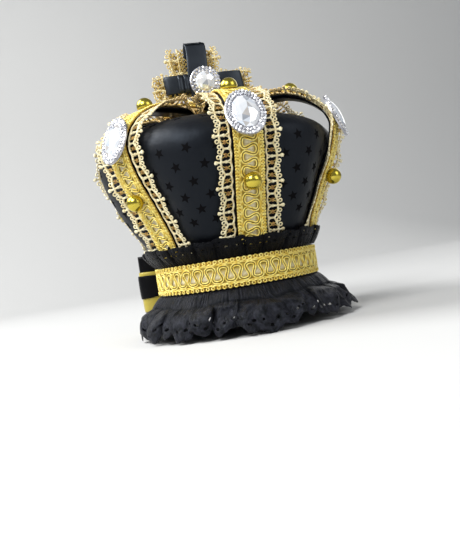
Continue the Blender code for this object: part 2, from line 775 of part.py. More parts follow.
# Bow
def bow_path(offset):
    """Half loops to both sides in one ribbon, moved outwards for each further layer."""
    inner = 2 * (RIBBON_THICK + GAP) + RIBBON_THICK / 2
    ribbon_end = BOW_HALF - inner
    half = [
        # along the crown's side, round the end and back along the outside
        (0.0012, 0.0), (ribbon_end * 0.11, 0.0), (ribbon_end * 0.35, 0.0),
        (ribbon_end * 0.90, BOW_DEPTH * 0.02), (ribbon_end * 0.99, BOW_DEPTH * 0.30),
        (ribbon_end * 0.99, BOW_DEPTH * 0.74), (ribbon_end * 0.90, BOW_DEPTH * 1.02),
        (ribbon_end * 0.70, BOW_DEPTH * 1.02), (ribbon_end * 0.35, BOW_DEPTH * 0.72),
        (ribbon_end * 0.11, BOW_DEPTH * 0.5),
    ]
    points = half + [(0.0, BOW_DEPTH * 0.46)] + [(-x, y) for x, y in reversed(half)]
    start = BOW_SEAT + inner + RIBBON_THICK * 0.2
    return offset_path([(x, start + y) for x, y in points], offset, False)


def make_bow():
    centre = BAND_MIDDLE + BOW_CENTRE
    layers = [("bow_wide_ribbon", black_satin, BOW_WIDE, -BOW_SAG),
              ("bow_gold_ribbon", gold_satin, BOW_GOLD, -BOW_SAG - BOW_GOLD_DROP),
              ("bow_narrow_ribbon", black_satin, BOW_NARROW, -BOW_SAG)]
    for k, (name, look, width, drop) in enumerate(layers):
        def reach(p, width=width, drop=drop):
            open_share = min(1.0, abs(p[0]) / (BOW_HALF * 0.7))
            ease = open_share * open_share * (3 - 2 * open_share)
            half = width / 2 * (BOW_PINCH + (1 - BOW_PINCH) * ease)
            return centre + drop * ease - half, centre + drop * ease + half
        ribbon(name, look, bow_path(k * (RIBBON_THICK + GAP)), RIBBON_THICK, reach, False,
               lambda p, w: Vector((p[0], p[1], w)))
    outer = max(y for x, y in bow_path(2 * (RIBBON_THICK + GAP)) if abs(x) < KNOT_WIDTH) + RIBBON_THICK
    hold = BOW_WIDE / 2 * BOW_PINCH + RIBBON_THICK * 1.3
    make_knot(centre, BOW_SEAT - GAP, outer + GAP, hold)


def make_knot(centre, near, far, hold):
    """The band round the bow's middle, with a pad that reaches the braid."""
    inside = [(near, -hold), (far, -hold), (far, hold), (near, hold)]
    back = BAND_OUTSIDE + GAP
    outside = [(back, -hold - KNOT_WALL), (far + KNOT_WALL, -hold - KNOT_WALL),
               (far + KNOT_WALL, hold + KNOT_WALL), (back, hold + KNOT_WALL)]
    bm = bmesh.new()
    rings = []
    for x, outline in ((-1, outside), (1, outside), (1, inside), (-1, inside)):
        rings.append([bm.verts.new((x * KNOT_WIDTH / 2, y, centre + z)) for y, z in outline])
    skin_rings(bm, rings + rings[:1])
    face_solid_outwards(bm)
    finish("bow_knot", bm, black_satin)


def clear_scene():
    for old in list(bpy.data.objects):
        bpy.data.objects.remove(old)


def build():
    clear_scene()
    path = ArchPath()
    make_base_ring()
    make_band_braid()
    make_puff_cap()
    make_upper_frill()
    make_lower_ruffle()
    make_arches(path)
    make_top_disc(path)
    make_cross(path)
    make_bow()


build()
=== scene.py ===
"""Looks of the mini crown: satin, gold lace and braid, black lace, plated beads and cut stones.

Everything is in metres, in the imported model's own frame: +Z up, the front arch and the cross
face -Y, and the ruffle's points stand on z = 0.
"""
import math
import random

import bmesh
import bpy
import numpy as np
from mathutils import Matrix, Vector
from mathutils.bvhtree import BVHTree


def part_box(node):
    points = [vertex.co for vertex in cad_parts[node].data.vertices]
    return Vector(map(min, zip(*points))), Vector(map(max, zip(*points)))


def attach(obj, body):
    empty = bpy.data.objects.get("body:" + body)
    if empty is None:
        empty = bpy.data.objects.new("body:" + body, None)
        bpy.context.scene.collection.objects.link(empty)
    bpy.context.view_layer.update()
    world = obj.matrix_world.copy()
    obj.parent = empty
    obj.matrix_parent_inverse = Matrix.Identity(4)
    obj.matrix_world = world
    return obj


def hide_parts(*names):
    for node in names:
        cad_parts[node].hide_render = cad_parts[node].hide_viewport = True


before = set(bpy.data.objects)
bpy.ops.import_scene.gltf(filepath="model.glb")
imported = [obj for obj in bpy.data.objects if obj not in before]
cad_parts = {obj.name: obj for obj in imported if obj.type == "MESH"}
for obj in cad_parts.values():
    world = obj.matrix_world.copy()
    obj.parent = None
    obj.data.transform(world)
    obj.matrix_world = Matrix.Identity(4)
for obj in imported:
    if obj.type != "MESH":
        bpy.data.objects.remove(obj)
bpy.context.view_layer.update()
random.seed(11)

# Camera
# A 44 mm lens on the side of the crown that the photograph shows, a little to the left of the
# front arch. The crown leans to the left in it, so the camera is rolled instead.
VIEW_TURN = math.radians(-13.3)
VIEW_RISE = math.radians(1.39)
VIEW_ROLL = math.radians(9.18)
VIEW_DISTANCE = 0.483
VIEW_LENS = 43.76
VIEW_SHIFT = (-0.0123, -0.0112)


def linked(name, data):
    """A new object in the scene."""
    made = bpy.data.objects.new(name, data)
    bpy.context.collection.objects.link(made)
    return made


braid_low, braid_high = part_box("band_braid")
band_middle = (braid_low.z + braid_high.z) / 2
camera = linked("camera", bpy.data.cameras.new("camera"))
camera.matrix_world = (Matrix.Translation((0.0, 0.0, band_middle)) @ Matrix.Rotation(VIEW_TURN, 4, "Z")
                       @ Matrix.Rotation(math.pi / 2 - VIEW_RISE, 4, "X")
                       @ Matrix.Translation((0.0, 0.0, VIEW_DISTANCE))
                       @ Matrix.Rotation(-VIEW_ROLL, 4, "Z"))
camera.data.lens = VIEW_LENS
camera.data.shift_x, camera.data.shift_y = VIEW_SHIFT
camera.data.clip_start = 0.01
bpy.context.scene.camera = camera


# Studio
# A pale seamless sweep, with a wide soft key light at the upper left, a second one at the left
# and behind, a weak fill at the right and a weaker light behind.
def mesh_of(bm, name):
    """A finished bmesh as a mesh."""
    made = bpy.data.meshes.new(name)
    bm.to_mesh(made)
    bm.free()
    return made


def material(name, colour, roughness, metallic=0.0, **sockets):
    """A new material, its tree and its Principled shader."""
    made = bpy.data.materials.new(name)
    made.use_nodes = True
    shader = made.node_tree.nodes["Principled BSDF"]
    shader.inputs["Base Color"].default_value = (*colour, 1.0)
    shader.inputs["Roughness"].default_value = roughness
    shader.inputs["Metallic"].default_value = metallic
    for socket, value in sockets.items():
        shader.inputs[socket.replace("_", " ")].default_value = value
    return made, made.node_tree, shader


SWEEP_HALF = 1.6
SWEEP_DEPTH = 0.9
SWEEP_HEIGHT = 1.6
SWEEP_ROUND = 0.5
SWEEP_STEPS = 12
LIGHT_AIM = Vector((0.0, 0.0, 0.09))
LIGHTS = [
    # name, place, size, watts
    ("key", (-0.72, -0.80, 1.05), 0.60, 19.5),
    ("side", (-1.00, 0.34, 1.10), 0.80, 25.0),
    ("fill", (0.85, -0.95, 0.70), 0.80, 4.6),
    ("rim", (0.75, 0.85, 0.60), 0.60, 1.5),
]

bm = bmesh.new()
edge = bm.edges.new([bm.verts.new((x, -SWEEP_DEPTH, 0.0)) for x in (-SWEEP_HALF, SWEEP_HALF)])
steps = [(SWEEP_DEPTH, 0.0)]
for k in range(1, SWEEP_STEPS + 1):
    bend = math.pi / 2 * k / SWEEP_STEPS
    steps.append((SWEEP_DEPTH + SWEEP_ROUND * math.sin(bend), SWEEP_ROUND * (1 - math.cos(bend))))
steps.append((SWEEP_DEPTH + SWEEP_ROUND, SWEEP_HEIGHT))
for y, z in steps:
    grown = bmesh.ops.extrude_edge_only(bm, edges=[edge])["geom"]
    edge = next(e for e in grown if isinstance(e, bmesh.types.BMEdge))
    for vert in edge.verts:
        vert.co = (math.copysign(SWEEP_HALF, vert.co.x), y, z)
bmesh.ops.recalc_face_normals(bm, faces=bm.faces)
sweep_mesh = mesh_of(bm, "sweep")
sweep_mesh.shade_smooth()
sweep_mesh.materials.append(material("pale_sweep", (0.58, 0.58, 0.57), 0.9)[0])
linked("sweep", sweep_mesh)

for name, place, size, watts in LIGHTS:
    light = linked(name, bpy.data.lights.new(name, "AREA"))
    light.data.energy, light.data.size = watts, size
    light.location = place
    light.rotation_euler = (LIGHT_AIM - Vector(place)).to_track_quat("-Z", "Y").to_euler()
world = bpy.data.worlds.new("studio")
world.use_nodes = True
world.node_tree.nodes["Background"].inputs["Color"].default_value = (0.80, 0.84, 0.90, 1.0)
world.node_tree.nodes["Background"].inputs["Strength"].default_value = 0.30
bpy.context.scene.world = world
bpy.context.scene.view_settings.view_transform = "Standard"

# Base ring and satin
# The ring is buckram wound with black satin. Satin is a near-black navy with a soft sheen,
# fine ribs across and a slow unevenness where it is pulled over something.
MM_WAVE = 6283.0                     # radians for each metre of a wave that is 1 mm long
RIBS_PER_MM = 3.0
CRUMPLES_PER_M = 60.0
RIB_DEPTH = 0.00005
GLOSS_DRIFT = (-0.06, 0.08)


def node(tree, kind, inputs=(), out=0, **settings):
    """An output of a new shader node, whose inputs are set to values or linked to sockets."""
    made = tree.nodes.new("ShaderNode" + kind)
    for name, value in settings.items():
        setattr(made, name, value)
    for name, value in dict(inputs).items():
        if isinstance(value, bpy.types.NodeSocket):
            tree.links.new(value, made.inputs[name])
        else:
            made.inputs[name].default_value = value
    return made.outputs[out]


def calc(tree, operation, *values):
    """The result of one sum on values or sockets."""
    return node(tree, "Math", dict(enumerate(values)), operation=operation)


def ranged(tree, value, low, high, to_low=0.0, to_high=1.0):
    """A value carried from one range to another."""
    return node(tree, "MapRange", {"Value": value, "From Min": low, "From Max": high,
                                   "To Min": to_low, "To Max": to_high})


def mixed(tree, factor, *ends):
    """A colour between two, each given as numbers or as a socket."""
    ends = [end if isinstance(end, bpy.types.NodeSocket) else (*end, 1.0) for end in ends]
    return node(tree, "Mix", {"Factor": factor, 6: ends[0], 7: ends[1]}, 2, data_type="RGBA")


def noise(tree, scale, detail=2.0, roughness=0.5, place=None):
    """Noise on the object's own places, or on other ones."""
    place = node(tree, "TexCoord", out="Object") if place is None else place
    return node(tree, "TexNoise", {"Vector": place, "Scale": scale, "Detail": detail,
                                   "Roughness": roughness})


def bumped(tree, height, strength, distance, **below):
    """A normal raised by a height, on another normal if one is given."""
    return node(tree, "Bump", {"Height": height, "Strength": strength, "Distance": distance, **below})


def feed(tree, end, **sources):
    """Link sockets to the inputs of a shader or of a group's end."""
    for name, source in sources.items():
        tree.links.new(source, end.inputs[name.replace("_", " ")])


def socket_group(name, ins, outs):
    """An empty node group with float inputs and outputs, and its two end nodes."""
    group = bpy.data.node_groups.new(name, "ShaderNodeTree")
    for label, value in ins.items():
        made = group.interface.new_socket(label, in_out="INPUT", socket_type="NodeSocketFloat")
        made.default_value = value
    for label in outs:
        group.interface.new_socket(label, in_out="OUTPUT", socket_type="NodeSocketFloat")
    return group, group.nodes.new("NodeGroupInput"), group.nodes.new("NodeGroupOutput")


def grouped(tree, group, **values):
    """The outputs of a group placed in a material with its own values."""
    made = tree.nodes.new("ShaderNodeGroup")
    made.node_tree = group
    for name, value in values.items():
        made.inputs[name.replace("_", " ")].default_value = value
    return made.outputs


satin_weave, _, weave_out = socket_group("satin_weave", {}, ["Ribs", "Crumple"])
place = node(satin_weave, "TexCoord", out="Object")
wave = calc(satin_weave, "MULTIPLY", node(satin_weave, "SeparateXYZ", {"Vector": place}, "Z"),
            RIBS_PER_MM * MM_WAVE)
feed(satin_weave, weave_out, Ribs=calc(satin_weave, "SINE", wave),
     Crumple=noise(satin_weave, CRUMPLES_PER_M, 3.0))


def satin(name, dark, light, roughness, crumple_depth=0.0006, **sockets):
    """Satin whose colour and gloss drift slowly, with fine ribs and soft crumples."""
    made, tree, shader = material(name, dark, roughness, 0.0, **sockets)
    weave = grouped(tree, satin_weave)
    crumple = weave["Crumple"]
    gloss = ranged(tree, crumple, 0.3, 0.7, *(roughness + drift for drift in GLOSS_DRIFT))
    soft = bumped(tree, crumple, 0.7, crumple_depth)
    feed(tree, shader, Base_Color=mixed(tree, crumple, dark, light), Roughness=gloss,
         Normal=bumped(tree, weave["Ribs"], 0.12, RIB_DEPTH, Normal=soft))
    return made


black_satin = satin("black_satin", (0.003, 0.003, 0.005), (0.005, 0.006, 0.010), 0.34,
                    Specular_IOR_Level=0.11)
ring_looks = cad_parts["base_ring"].data.materials
ring_looks.clear()
ring_looks.append(black_satin)

# Puffed cap
# Black satin over thin wadding, gathered into the ring, so it puckers a little above the frill
# and is drawn in under each arch. Small flocked stars are scattered over it in staggered rows.
ARCHES = 6
PUCKER_DEPTH = 0.0007
PUCKER_RISE = 0.030
PUCKERS = 72
ARCH_PUCKERS = 0.35
SMOOTH_LEVELS = 2
WELD = 0.00001


def add_piece(name, mesh, looks, replaced=(), smooth=True):
    """Link a finished mesh as a piece of the crown, in one material or more."""
    made = linked(name, mesh)
    for look in looks:
        mesh.materials.append(look)
    if smooth:
        mesh.shade_smooth()
    else:
        mesh.shade_flat()
    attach(made, "root")
    if replaced:
        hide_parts(*replaced)
    return made


def evaluated(name, data, kind=None, **settings):
    """The mesh that a curve gives, or a mesh under a modifier."""
    holder = linked(name, data)
    if kind:
        change = holder.modifiers.new(name, kind)
        for key, value in settings.items():
            setattr(change, key, value)
    final = holder.evaluated_get(bpy.context.evaluated_depsgraph_get())
    made = bpy.data.meshes.new_from_object(final)
    bpy.data.objects.remove(holder)
    made.name = name
    return made


def merged_copy(name):
    """A bmesh of a CAD node with its loose triangles joined into quads."""
    bm = bmesh.new()
    bm.from_mesh(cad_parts[name].data)
    bmesh.ops.remove_doubles(bm, verts=bm.verts, dist=WELD)
    bmesh.ops.join_triangles(bm, faces=bm.faces, angle_face_threshold=math.radians(60),
                             angle_shape_threshold=math.radians(75))
    return bm


def subdivided(cad_name, name):
    """The Catmull-Clark surface of a CAD node, as a mesh."""
    return evaluated(name, mesh_of(merged_copy(cad_name), name), "SUBSURF",
                     levels=SMOOTH_LEVELS, render_levels=SMOOTH_LEVELS)


cap_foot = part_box("puff_cap")[0].z
cap_mesh = subdivided("puff_cap", "satin_cap")
for vert in cap_mesh.vertices:
    turn = math.atan2(vert.co.x, -vert.co.y)
    fade = max(0.0, 1.0 - (vert.co.z - cap_foot) / PUCKER_RISE)
    between_arches = (1 - math.cos(ARCHES * turn)) / 2
    wave = math.sin(PUCKERS * turn + 1.3 * math.sin(5 * turn)) * (0.6 + 0.4 * math.sin(11 * turn))
    depth = PUCKER_DEPTH * (wave - 1.0) * fade * fade
    depth *= ARCH_PUCKERS + (1 - ARCH_PUCKERS) * between_arches
    vert.co += Vector((vert.co.x, vert.co.y, 0.0)).normalized() * depth
cap_satin = satin("cap_satin", (0.0014, 0.0015, 0.0022), (0.0030, 0.0033, 0.0050), 0.48, 0.0014,
                  Specular_IOR_Level=0.24, Specular_Tint=(0.70, 0.83, 1.0, 1.0))
satin_cap = add_piece("satin_cap", cap_mesh, [cap_satin], ["puff_cap"])

STAR_TIP = 0.0036
STAR_WAIST = 0.0016
STAR_THICK = 0.00015
STAR_LIFT = 0.0001
STARS_ROUND = 29
STAR_ROWS = (-17.0, -10.5, -4.0, 2.5, 9.0, 15.5, 33.0, 45.0, 58.0)     # degrees above the middle
FULL_ROWS = 6
STAR_FIRST = -32.0
STAR_CAST = 0.2

cap_tree = BVHTree.FromObject(satin_cap, bpy.context.evaluated_depsgraph_get())
cap_middle = Vector((0.0, 0.0, cap_foot + 0.045))
bm = bmesh.new()
for row, rise in enumerate(STAR_ROWS):
    rise = math.radians(rise)
    count = STARS_ROUND if row < FULL_ROWS else int(STARS_ROUND * math.cos(rise) * 1.05)
    for k in range(count):
        turn = math.radians(STAR_FIRST) + 2 * math.pi * (k + 0.5 * (row % 2)) / count
        ray = Vector((math.sin(turn) * math.cos(rise), -math.cos(turn) * math.cos(rise),
                      math.sin(rise)))
        hit, normal = cap_tree.ray_cast(cap_middle + ray * STAR_CAST, -ray)[:2]
        if hit is None:
            continue
        facing = normal.to_track_quat("Z", "Y").to_matrix().to_4x4()
        facing = facing @ Matrix.Rotation(random.uniform(0, 6), 4, "Z")
        facing.translation = hit + normal * STAR_LIFT
        star = bmesh.ops.create_circle(bm, segments=10, radius=STAR_TIP, cap_ends=True, matrix=facing)
        for i, vert in enumerate(star["verts"]):
            if i % 2:
                vert.co = facing.translation + (vert.co - facing.translation) * STAR_WAIST / STAR_TIP
            spot, skin = cap_tree.find_nearest(vert.co)[:2]
            vert.co = spot + skin * STAR_LIFT
for face in bm.faces:
    if face.normal.dot(face.calc_center_median() - cap_middle) < 0:
        face.normal_flip()
bmesh.ops.solidify(bm, geom=bm.faces[:], thickness=STAR_THICK)
star_flock, tree, shader = material("star_flock", (0.0035, 0.0035, 0.0042), 0.95, 0.0,
                                    Specular_IOR_Level=0.06)
feed(tree, shader, Normal=bumped(tree, noise(tree, 6000.0), 0.5, 0.0001))
add_piece("cap_stars", mesh_of(bm, "cap_stars"), [star_flock], smooth=False)

# Arches
# Each arch is a black ribbon, a wide gold lace with scalloped edges and a gimp braid sewn down
# its middle. They lie on the cap up to its shoulder and stand free above it. Everything is drawn
# flat, along, across and off the ribbon, and then laid on the arch's line.
BRAID_HALF = 0.0097
LACE_HALF = 0.0218
LACE_DEEP = 0.0024
LINING_DEEP = 0.0032
LINING_THICK = 0.001
MITRE = math.tan(math.pi / ARCHES)
LINE_INSIDE = (0.030, -0.01)
LINE_STEPS = 12
EDGE_STANDS = [
    # how far the lace's edges stand up, on the arch's left and right, from the front arch round
    (0.0012, 0.0012),
    (0.0030, 0.0060),
    (0.0050, 0.0050),
    (0.0030, 0.0030),
    (0.0060, 0.0060),
    (0.0045, -0.0010),
]
FREE_STANDS = {6: (0.0, 0.0052)}     # what stands up more on the free part, arch by arch
FREE_FROM = 0.70
FREE_OVER = 0.12


def read_arch_line():
    """Radius and height of the braid's face along an arch, from the front arch's solid."""
    corners = np.array([v.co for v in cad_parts["arch_braid_1"].data.vertices])
    left = corners[corners[:, 0] < 0]
    points = np.unique(np.round(np.stack([-left[:, 1], left[:, 2]], 1), 5), axis=0)
    middle = (points[:, 1].min() + points[:, 1].max()) / 2
    inside = np.array([LINE_INSIDE[0], middle + LINE_INSIDE[1]])
    turned = points[np.argsort(np.arctan2(*(points - inside).T[::-1]))]
    pairs = turned[:len(turned) // 2 * 2].reshape(-1, 2, 2)
    far = np.linalg.norm(pairs - inside, axis=2).argmax(1)
    return pairs[np.arange(len(pairs)), far]


def smooth_line(points, steps):
    """Catmull-Rom points through the given ones."""
    ends = np.vstack([2 * points[0] - points[1], points, 2 * points[-1] - points[-2]])
    t = np.linspace(0, 1, steps, endpoint=False)[:, None]
    parts = []
    for a, b, c, d in zip(ends, ends[1:], ends[2:], ends[3:]):
        parts.append(0.5 * (2 * b + (c - a) * t + (2 * a - 5 * b + 4 * c - d) * t ** 2
                            + (3 * b - a - 3 * c + d) * t ** 3))
    return np.vstack(parts + [points[-1:]])


line = smooth_line(read_arch_line(), LINE_STEPS)
line_at = np.concatenate([[0.0], np.cumsum(np.linalg.norm(np.diff(line, axis=0), axis=1))])
arch_length = line_at[-1]
heading = np.gradient(line, line_at, axis=0)
heading /= np.linalg.norm(heading, axis=1)[:, None]
line_normal = np.stack([heading[:, 1], -heading[:, 0]], 1)


def on_line(along):
    """Radius and height at places along an arch, and the arch's normal there."""
    return [np.stack([np.interp(along, line_at, rows[:, 0]), np.interp(along, line_at, rows[:, 1])], 1)
            for rows in (line, line_normal)]


def arch_axes(turn):
    """Outwards, sideways and up at an arch's turn from the front."""
    return (np.array((math.sin(turn), -math.cos(turn), 0.0)),
            np.array((math.cos(turn), math.sin(turn), 0.0)), np.array((0.0, 0.0, 1.0)))


DRAPE_ROWS = 60
DRAPE_COLUMNS = 7
DRAPE_PROBE = 0.03
DRAPE_CAST = 0.05
DRAPE_NONE = -0.02
DRAPE_CLEAR = 0.0010
TOUCH_GAP = 0.010
TOUCH_FADE = 0.007


def drape_grid(turn, stands, free_stands):
    """How far the lace is bent off the braid's plane by the cap, on a grid along and across."""
    out, side, up = arch_axes(turn)
    grid = np.zeros((DRAPE_ROWS, 2 * DRAPE_COLUMNS))
    alongs = np.linspace(0.0, arch_length, DRAPE_ROWS)
    for i, (spot, normal) in enumerate(zip(*on_line(alongs))):
        away = Vector(out * normal[0] + up * normal[1])
        for sign in (-1, 1):
            levels = []
            for across in np.linspace(BRAID_HALF, LACE_HALF, DRAPE_COLUMNS):
                start = Vector(out * spot[0] + up * spot[1] + side * sign * across)
                hit = cap_tree.ray_cast(start + away * DRAPE_PROBE, -away, DRAPE_CAST)[3]
                if hit is None:
                    levels.append(levels[-1] if levels else DRAPE_NONE)
                else:
                    levels.append(DRAPE_PROBE - hit + LACE_DEEP + DRAPE_CLEAR)
            near = levels[0]
            touch = min(max((near + TOUCH_GAP) / TOUCH_FADE, 0.0), 1.0)
            for j, height in enumerate(levels):
                column = DRAPE_COLUMNS + j if sign > 0 else DRAPE_COLUMNS - 1 - j
                grid[i, column] = touch * touch * (3 - 2 * touch) * (height - min(near, 0.0))
    past = np.linspace(0, 1, DRAPE_COLUMNS) ** 1.5
    grow = np.clip(alongs / arch_length * 2.2, 0.25, 1.0)[:, None]
    free = np.clip((alongs / arch_length - FREE_FROM) / FREE_OVER, 0.0, 1.0)[:, None]
    wave = 1 + 0.35 * np.sin(alongs * 210 + turn * 3)[:, None]
    for share, (left, right) in ((grow, stands), (free, free_stands)):
        grid += share * wave * np.concatenate([past[::-1] * left, past * right])[None, :]
    return grid


def drape_at(grid, along, across):
    """Read the drape grid between its rows and columns."""
    row = np.clip(along / arch_length, 0, 1) * (DRAPE_ROWS - 1)
    past = np.clip((np.abs(across) - BRAID_HALF) / (LACE_HALF - BRAID_HALF), 0, 1)
    past *= DRAPE_COLUMNS - 1
    low_row = np.minimum(row.astype(int), DRAPE_ROWS - 2)
    low_past = np.minimum(past.astype(int), DRAPE_COLUMNS - 2)
    share_row, share_past = row - low_row, past - low_past

    def read(r, p):
        return grid[r, np.where(across > 0, DRAPE_COLUMNS + p, DRAPE_COLUMNS - 1 - p)]

    low, high = (read(r, low_past) * (1 - share_past) + read(r, low_past + 1) * share_past
                 for r in (low_row, low_row + 1))
    return (low * (1 - share_row) + high * share_row) * (np.abs(across) > BRAID_HALF)


LINE_CLEAR = 0.0006
ROOM_LEAST = 0.04
ROOM_SLOPE = 0.85
LACE_PROBE = 0.02
LACE_CAST = 0.06
LACE_OFF_CAP = 0.0011


def arch_layer(turn, grid=None):
    """A function that lays flat points (along, across, height) on the arch at this turn."""
    out, side, up = arch_axes(turn)

    def lay(flat):
        along, across, height = flat[:, 0], flat[:, 1], flat[:, 2].copy()
        spot, normal = on_line(along)
        room = ((spot[:, 0] - LINE_CLEAR) * MITRE - BRAID_HALF) / (LACE_HALF - BRAID_HALF)
        room = np.clip(room, ROOM_LEAST, 1.0)
        beyond = np.maximum(np.abs(across) - BRAID_HALF, 0.0)
        across = np.sign(across) * (np.abs(across) - beyond * (1 - room))
        if grid is not None:
            height += drape_at(grid, along, across) - beyond * np.sqrt(1 - room * room) * ROOM_SLOPE
        for i in np.nonzero(beyond * (room < 1))[0] if grid is not None else ():
            away = Vector(out * normal[i, 0] + up * normal[i, 1])
            start = Vector(out * spot[i, 0] + up * spot[i, 1] + side * across[i])
            free = cap_tree.ray_cast(start + away * LACE_PROBE, -away, LACE_CAST)[3]
            if free is not None:
                height[i] = max(height[i], LACE_PROBE - free + LACE_OFF_CAP)
        flat_out = spot[:, 0] + normal[:, 0] * height
        flat_up = spot[:, 1] + normal[:, 1] * height
        return out * flat_out[:, None] + up * flat_up[:, None] + side * across[:, None]

    return lay


def laid(mesh, lay):
    """Keep the flat places as the UV map, in metres, and lay the mesh."""
    flat = np.empty(len(mesh.vertices) * 3, np.float32)
    mesh.vertices.foreach_get("co", flat)
    flat = flat.reshape(-1, 3).astype(float)
    corners = np.empty(len(mesh.loops), np.int32)
    mesh.loops.foreach_get("vertex_index", corners)
    layer = mesh.uv_layers.get("UVMap") or mesh.uv_layers.new(name="UVMap")
    layer.data.foreach_set("uv", flat[corners, :2].astype(np.float32).ravel())
    mesh.vertices.foreach_set("co", lay(flat).astype(np.float32).ravel())
    mesh.update()
    return mesh


def faced_out(mesh):
    """Turn the faces of a closed mesh outwards again, where its lay has mirrored it."""
    bm = bmesh.new()
    bm.from_mesh(mesh)
    if bm.calc_volume(signed=True) < 0:
        mesh.flip_normals()
    bm.free()
    return mesh


def cords(lines, thick):
    """Mesh tubes of one thickness along (points, closed) lines."""
    curve = bpy.data.curves.new("cords", "CURVE")
    curve.dimensions = "3D"
    curve.bevel_depth = thick / 2
    curve.bevel_resolution = 1
    curve.use_fill_caps = True
    for points, closed in lines:
        spline = curve.splines.new("POLY")
        spline.points.add(len(points) - 1)
        spline.use_cyclic_u = closed
        for point, spot in zip(spline.points, points):
            point.co = (*spot, 1.0)
    return evaluated("cords", curve)


def joined(name, parts):
    """One smooth mesh of (mesh, material index) parts, where None keeps a part's own indices."""
    bm = bmesh.new()
    for mesh, index in parts:
        first = len(bm.faces)
        bm.from_mesh(mesh)
        bm.faces.ensure_lookup_table()
        for face in bm.faces[first:]:
            face.material_index = face.material_index if index is None else index
            face.smooth = True
    return mesh_of(bm, name)


def flat_grid(length, low, high, height, columns, rows):
    """A bmesh grid from x = 0 to length and from y = low to high."""
    bm = bmesh.new()
    size = (Matrix.Translation((length / 2, (low + high) / 2, height))
            @ Matrix.Diagonal((length, high - low, 1.0, 1.0)))
    bmesh.ops.create_grid(bm, x_segments=columns, y_segments=rows, size=0.5, matrix=size)
    return bm


def strip(length, half, top, thick, columns):
    """A flat ribbon from along = 0 to length, its face at height top."""
    bm = flat_grid(length, -half, half, top, columns, 2)
    bmesh.ops.solidify(bm, geom=bm.faces[:], thickness=thick)
    bmesh.ops.recalc_face_normals(bm, faces=bm.faces)
    return mesh_of(bm, "strip")


# The gimp braid: a doubled cord that winds from side to side in round loops, and on each edge a
# chain of small looped cords beside a straight one, all on a woven ground.
WIND_PITCH = 0.0088
WIND_POINTS = 28
WIND_REACH = 0.0049
WIND_CORD = 0.00085
WIND_APART = 0.00148
GAP_SHADE_THICK = 0.0009
WIND_SWELL = 0.0018
WIND_LOPSIDED = 0.0004
EDGE_MIDDLE = 0.0079
EDGE_POINTS = 11
EDGE_REACH = 0.0013
EDGE_CORD = 0.00085
EDGE_CURL = 0.52
EDGE_RISE = 0.0002
ARCH_LOOPS = 0.0021
BAND_LOOPS = 0.0038
STRAIGHT_CORD = 0.0007
STRAIGHT_OUT = 0.0060
STRAIGHT_LOW = -0.0006
STRAIGHT_STEP = 0.0025
GROUND_INSET = 0.0005
GROUND_LOW = -0.0009
GROUND_THICK = 0.0006
GROUND_STEP = 0.003


def winding(length):
    """The winding pair of cords, and a dark cord between them as painted shade in their gap, in round
    loops.
    """
    turns = max(1, round(length / WIND_PITCH))
    t = np.linspace(0, 2 * math.pi * turns, turns * WIND_POINTS + 1)
    along = t / (2 * math.pi) * length / turns + WIND_SWELL * np.sin(2 * t)
    along -= WIND_LOPSIDED * np.sin(t) * ((1 - np.cos(t)) / 2) ** 2
    points = np.stack([along, WIND_REACH * np.cos(t)], 1)
    ahead = np.gradient(points, axis=0)
    ahead /= np.linalg.norm(ahead, axis=1)[:, None]
    beside = np.stack([-ahead[:, 1], ahead[:, 0]], 1) * WIND_APART / 2
    return [(np.hstack([points + sign * beside, np.full((len(t), 1), -WIND_CORD * sunk)]), False)
            for sign, sunk in ((-1, 0.4), (1, 0.4), (0, 0.9))]


def looping(length, side, pitch):
    """A chain of small curls along one edge."""
    turns = max(1, round(length / pitch))
    t = np.linspace(0, 2 * math.pi * turns, turns * EDGE_POINTS + 1)
    along = t / (2 * math.pi) * length / turns + pitch * EDGE_CURL * np.sin(t)
    across = side * (EDGE_MIDDLE - EDGE_REACH * np.cos(t))
    return np.stack([along, across, -EDGE_CORD * 0.5 + EDGE_RISE * np.sin(t)], 1), False


def gimp_braid(name, length, loops):
    """The whole flat braid: all its cords in material 0, its ground in 1 and the dark cord of painted
    shade between the winding pair in 2.
    """
    steps = np.linspace(0.0, length, max(12, round(length / STRAIGHT_STEP)))
    straight = [([(s, side * STRAIGHT_OUT, STRAIGHT_LOW) for s in steps], False) for side in (-1, 1)]
    wound = winding(length)
    ground = strip(length, BRAID_HALF - GROUND_INSET, GROUND_LOW, GROUND_THICK,
                   round(length / GROUND_STEP))
    return joined(name, [(cords(wound[:2], WIND_CORD), 0),
                         (cords([looping(length, side, loops) for side in (-1, 1)], EDGE_CORD), 0),
                         (cords(straight, STRAIGHT_CORD), 0), (cords(wound[2:], GAP_SHADE_THICK), 2),
                         (ground, 1)])


def flat_xy(tree):
    """The parts of the flat places that every laid piece keeps as its UV map."""
    return node(tree, "SeparateXYZ", {"Vector": node(tree, "TexCoord", out="UV")}).node.outputs


twist, twist_in, twist_out = socket_group("thread_twist", {"Turns per mm": 1.4, "Lean": 0.8},
                                          ["Height", "Tone"])
spread = flat_xy(twist)
leaned = calc(twist, "ADD", spread["X"], calc(twist, "MULTIPLY", spread["Y"], twist_in.outputs["Lean"]))
turns = calc(twist, "MULTIPLY", twist_in.outputs["Turns per mm"], MM_WAVE)
feed(twist, twist_out, Height=calc(twist, "SINE", calc(twist, "MULTIPLY", leaned, turns)),
     Tone=noise(twist, 420.0, place=node(twist, "TexCoord", out="UV")))


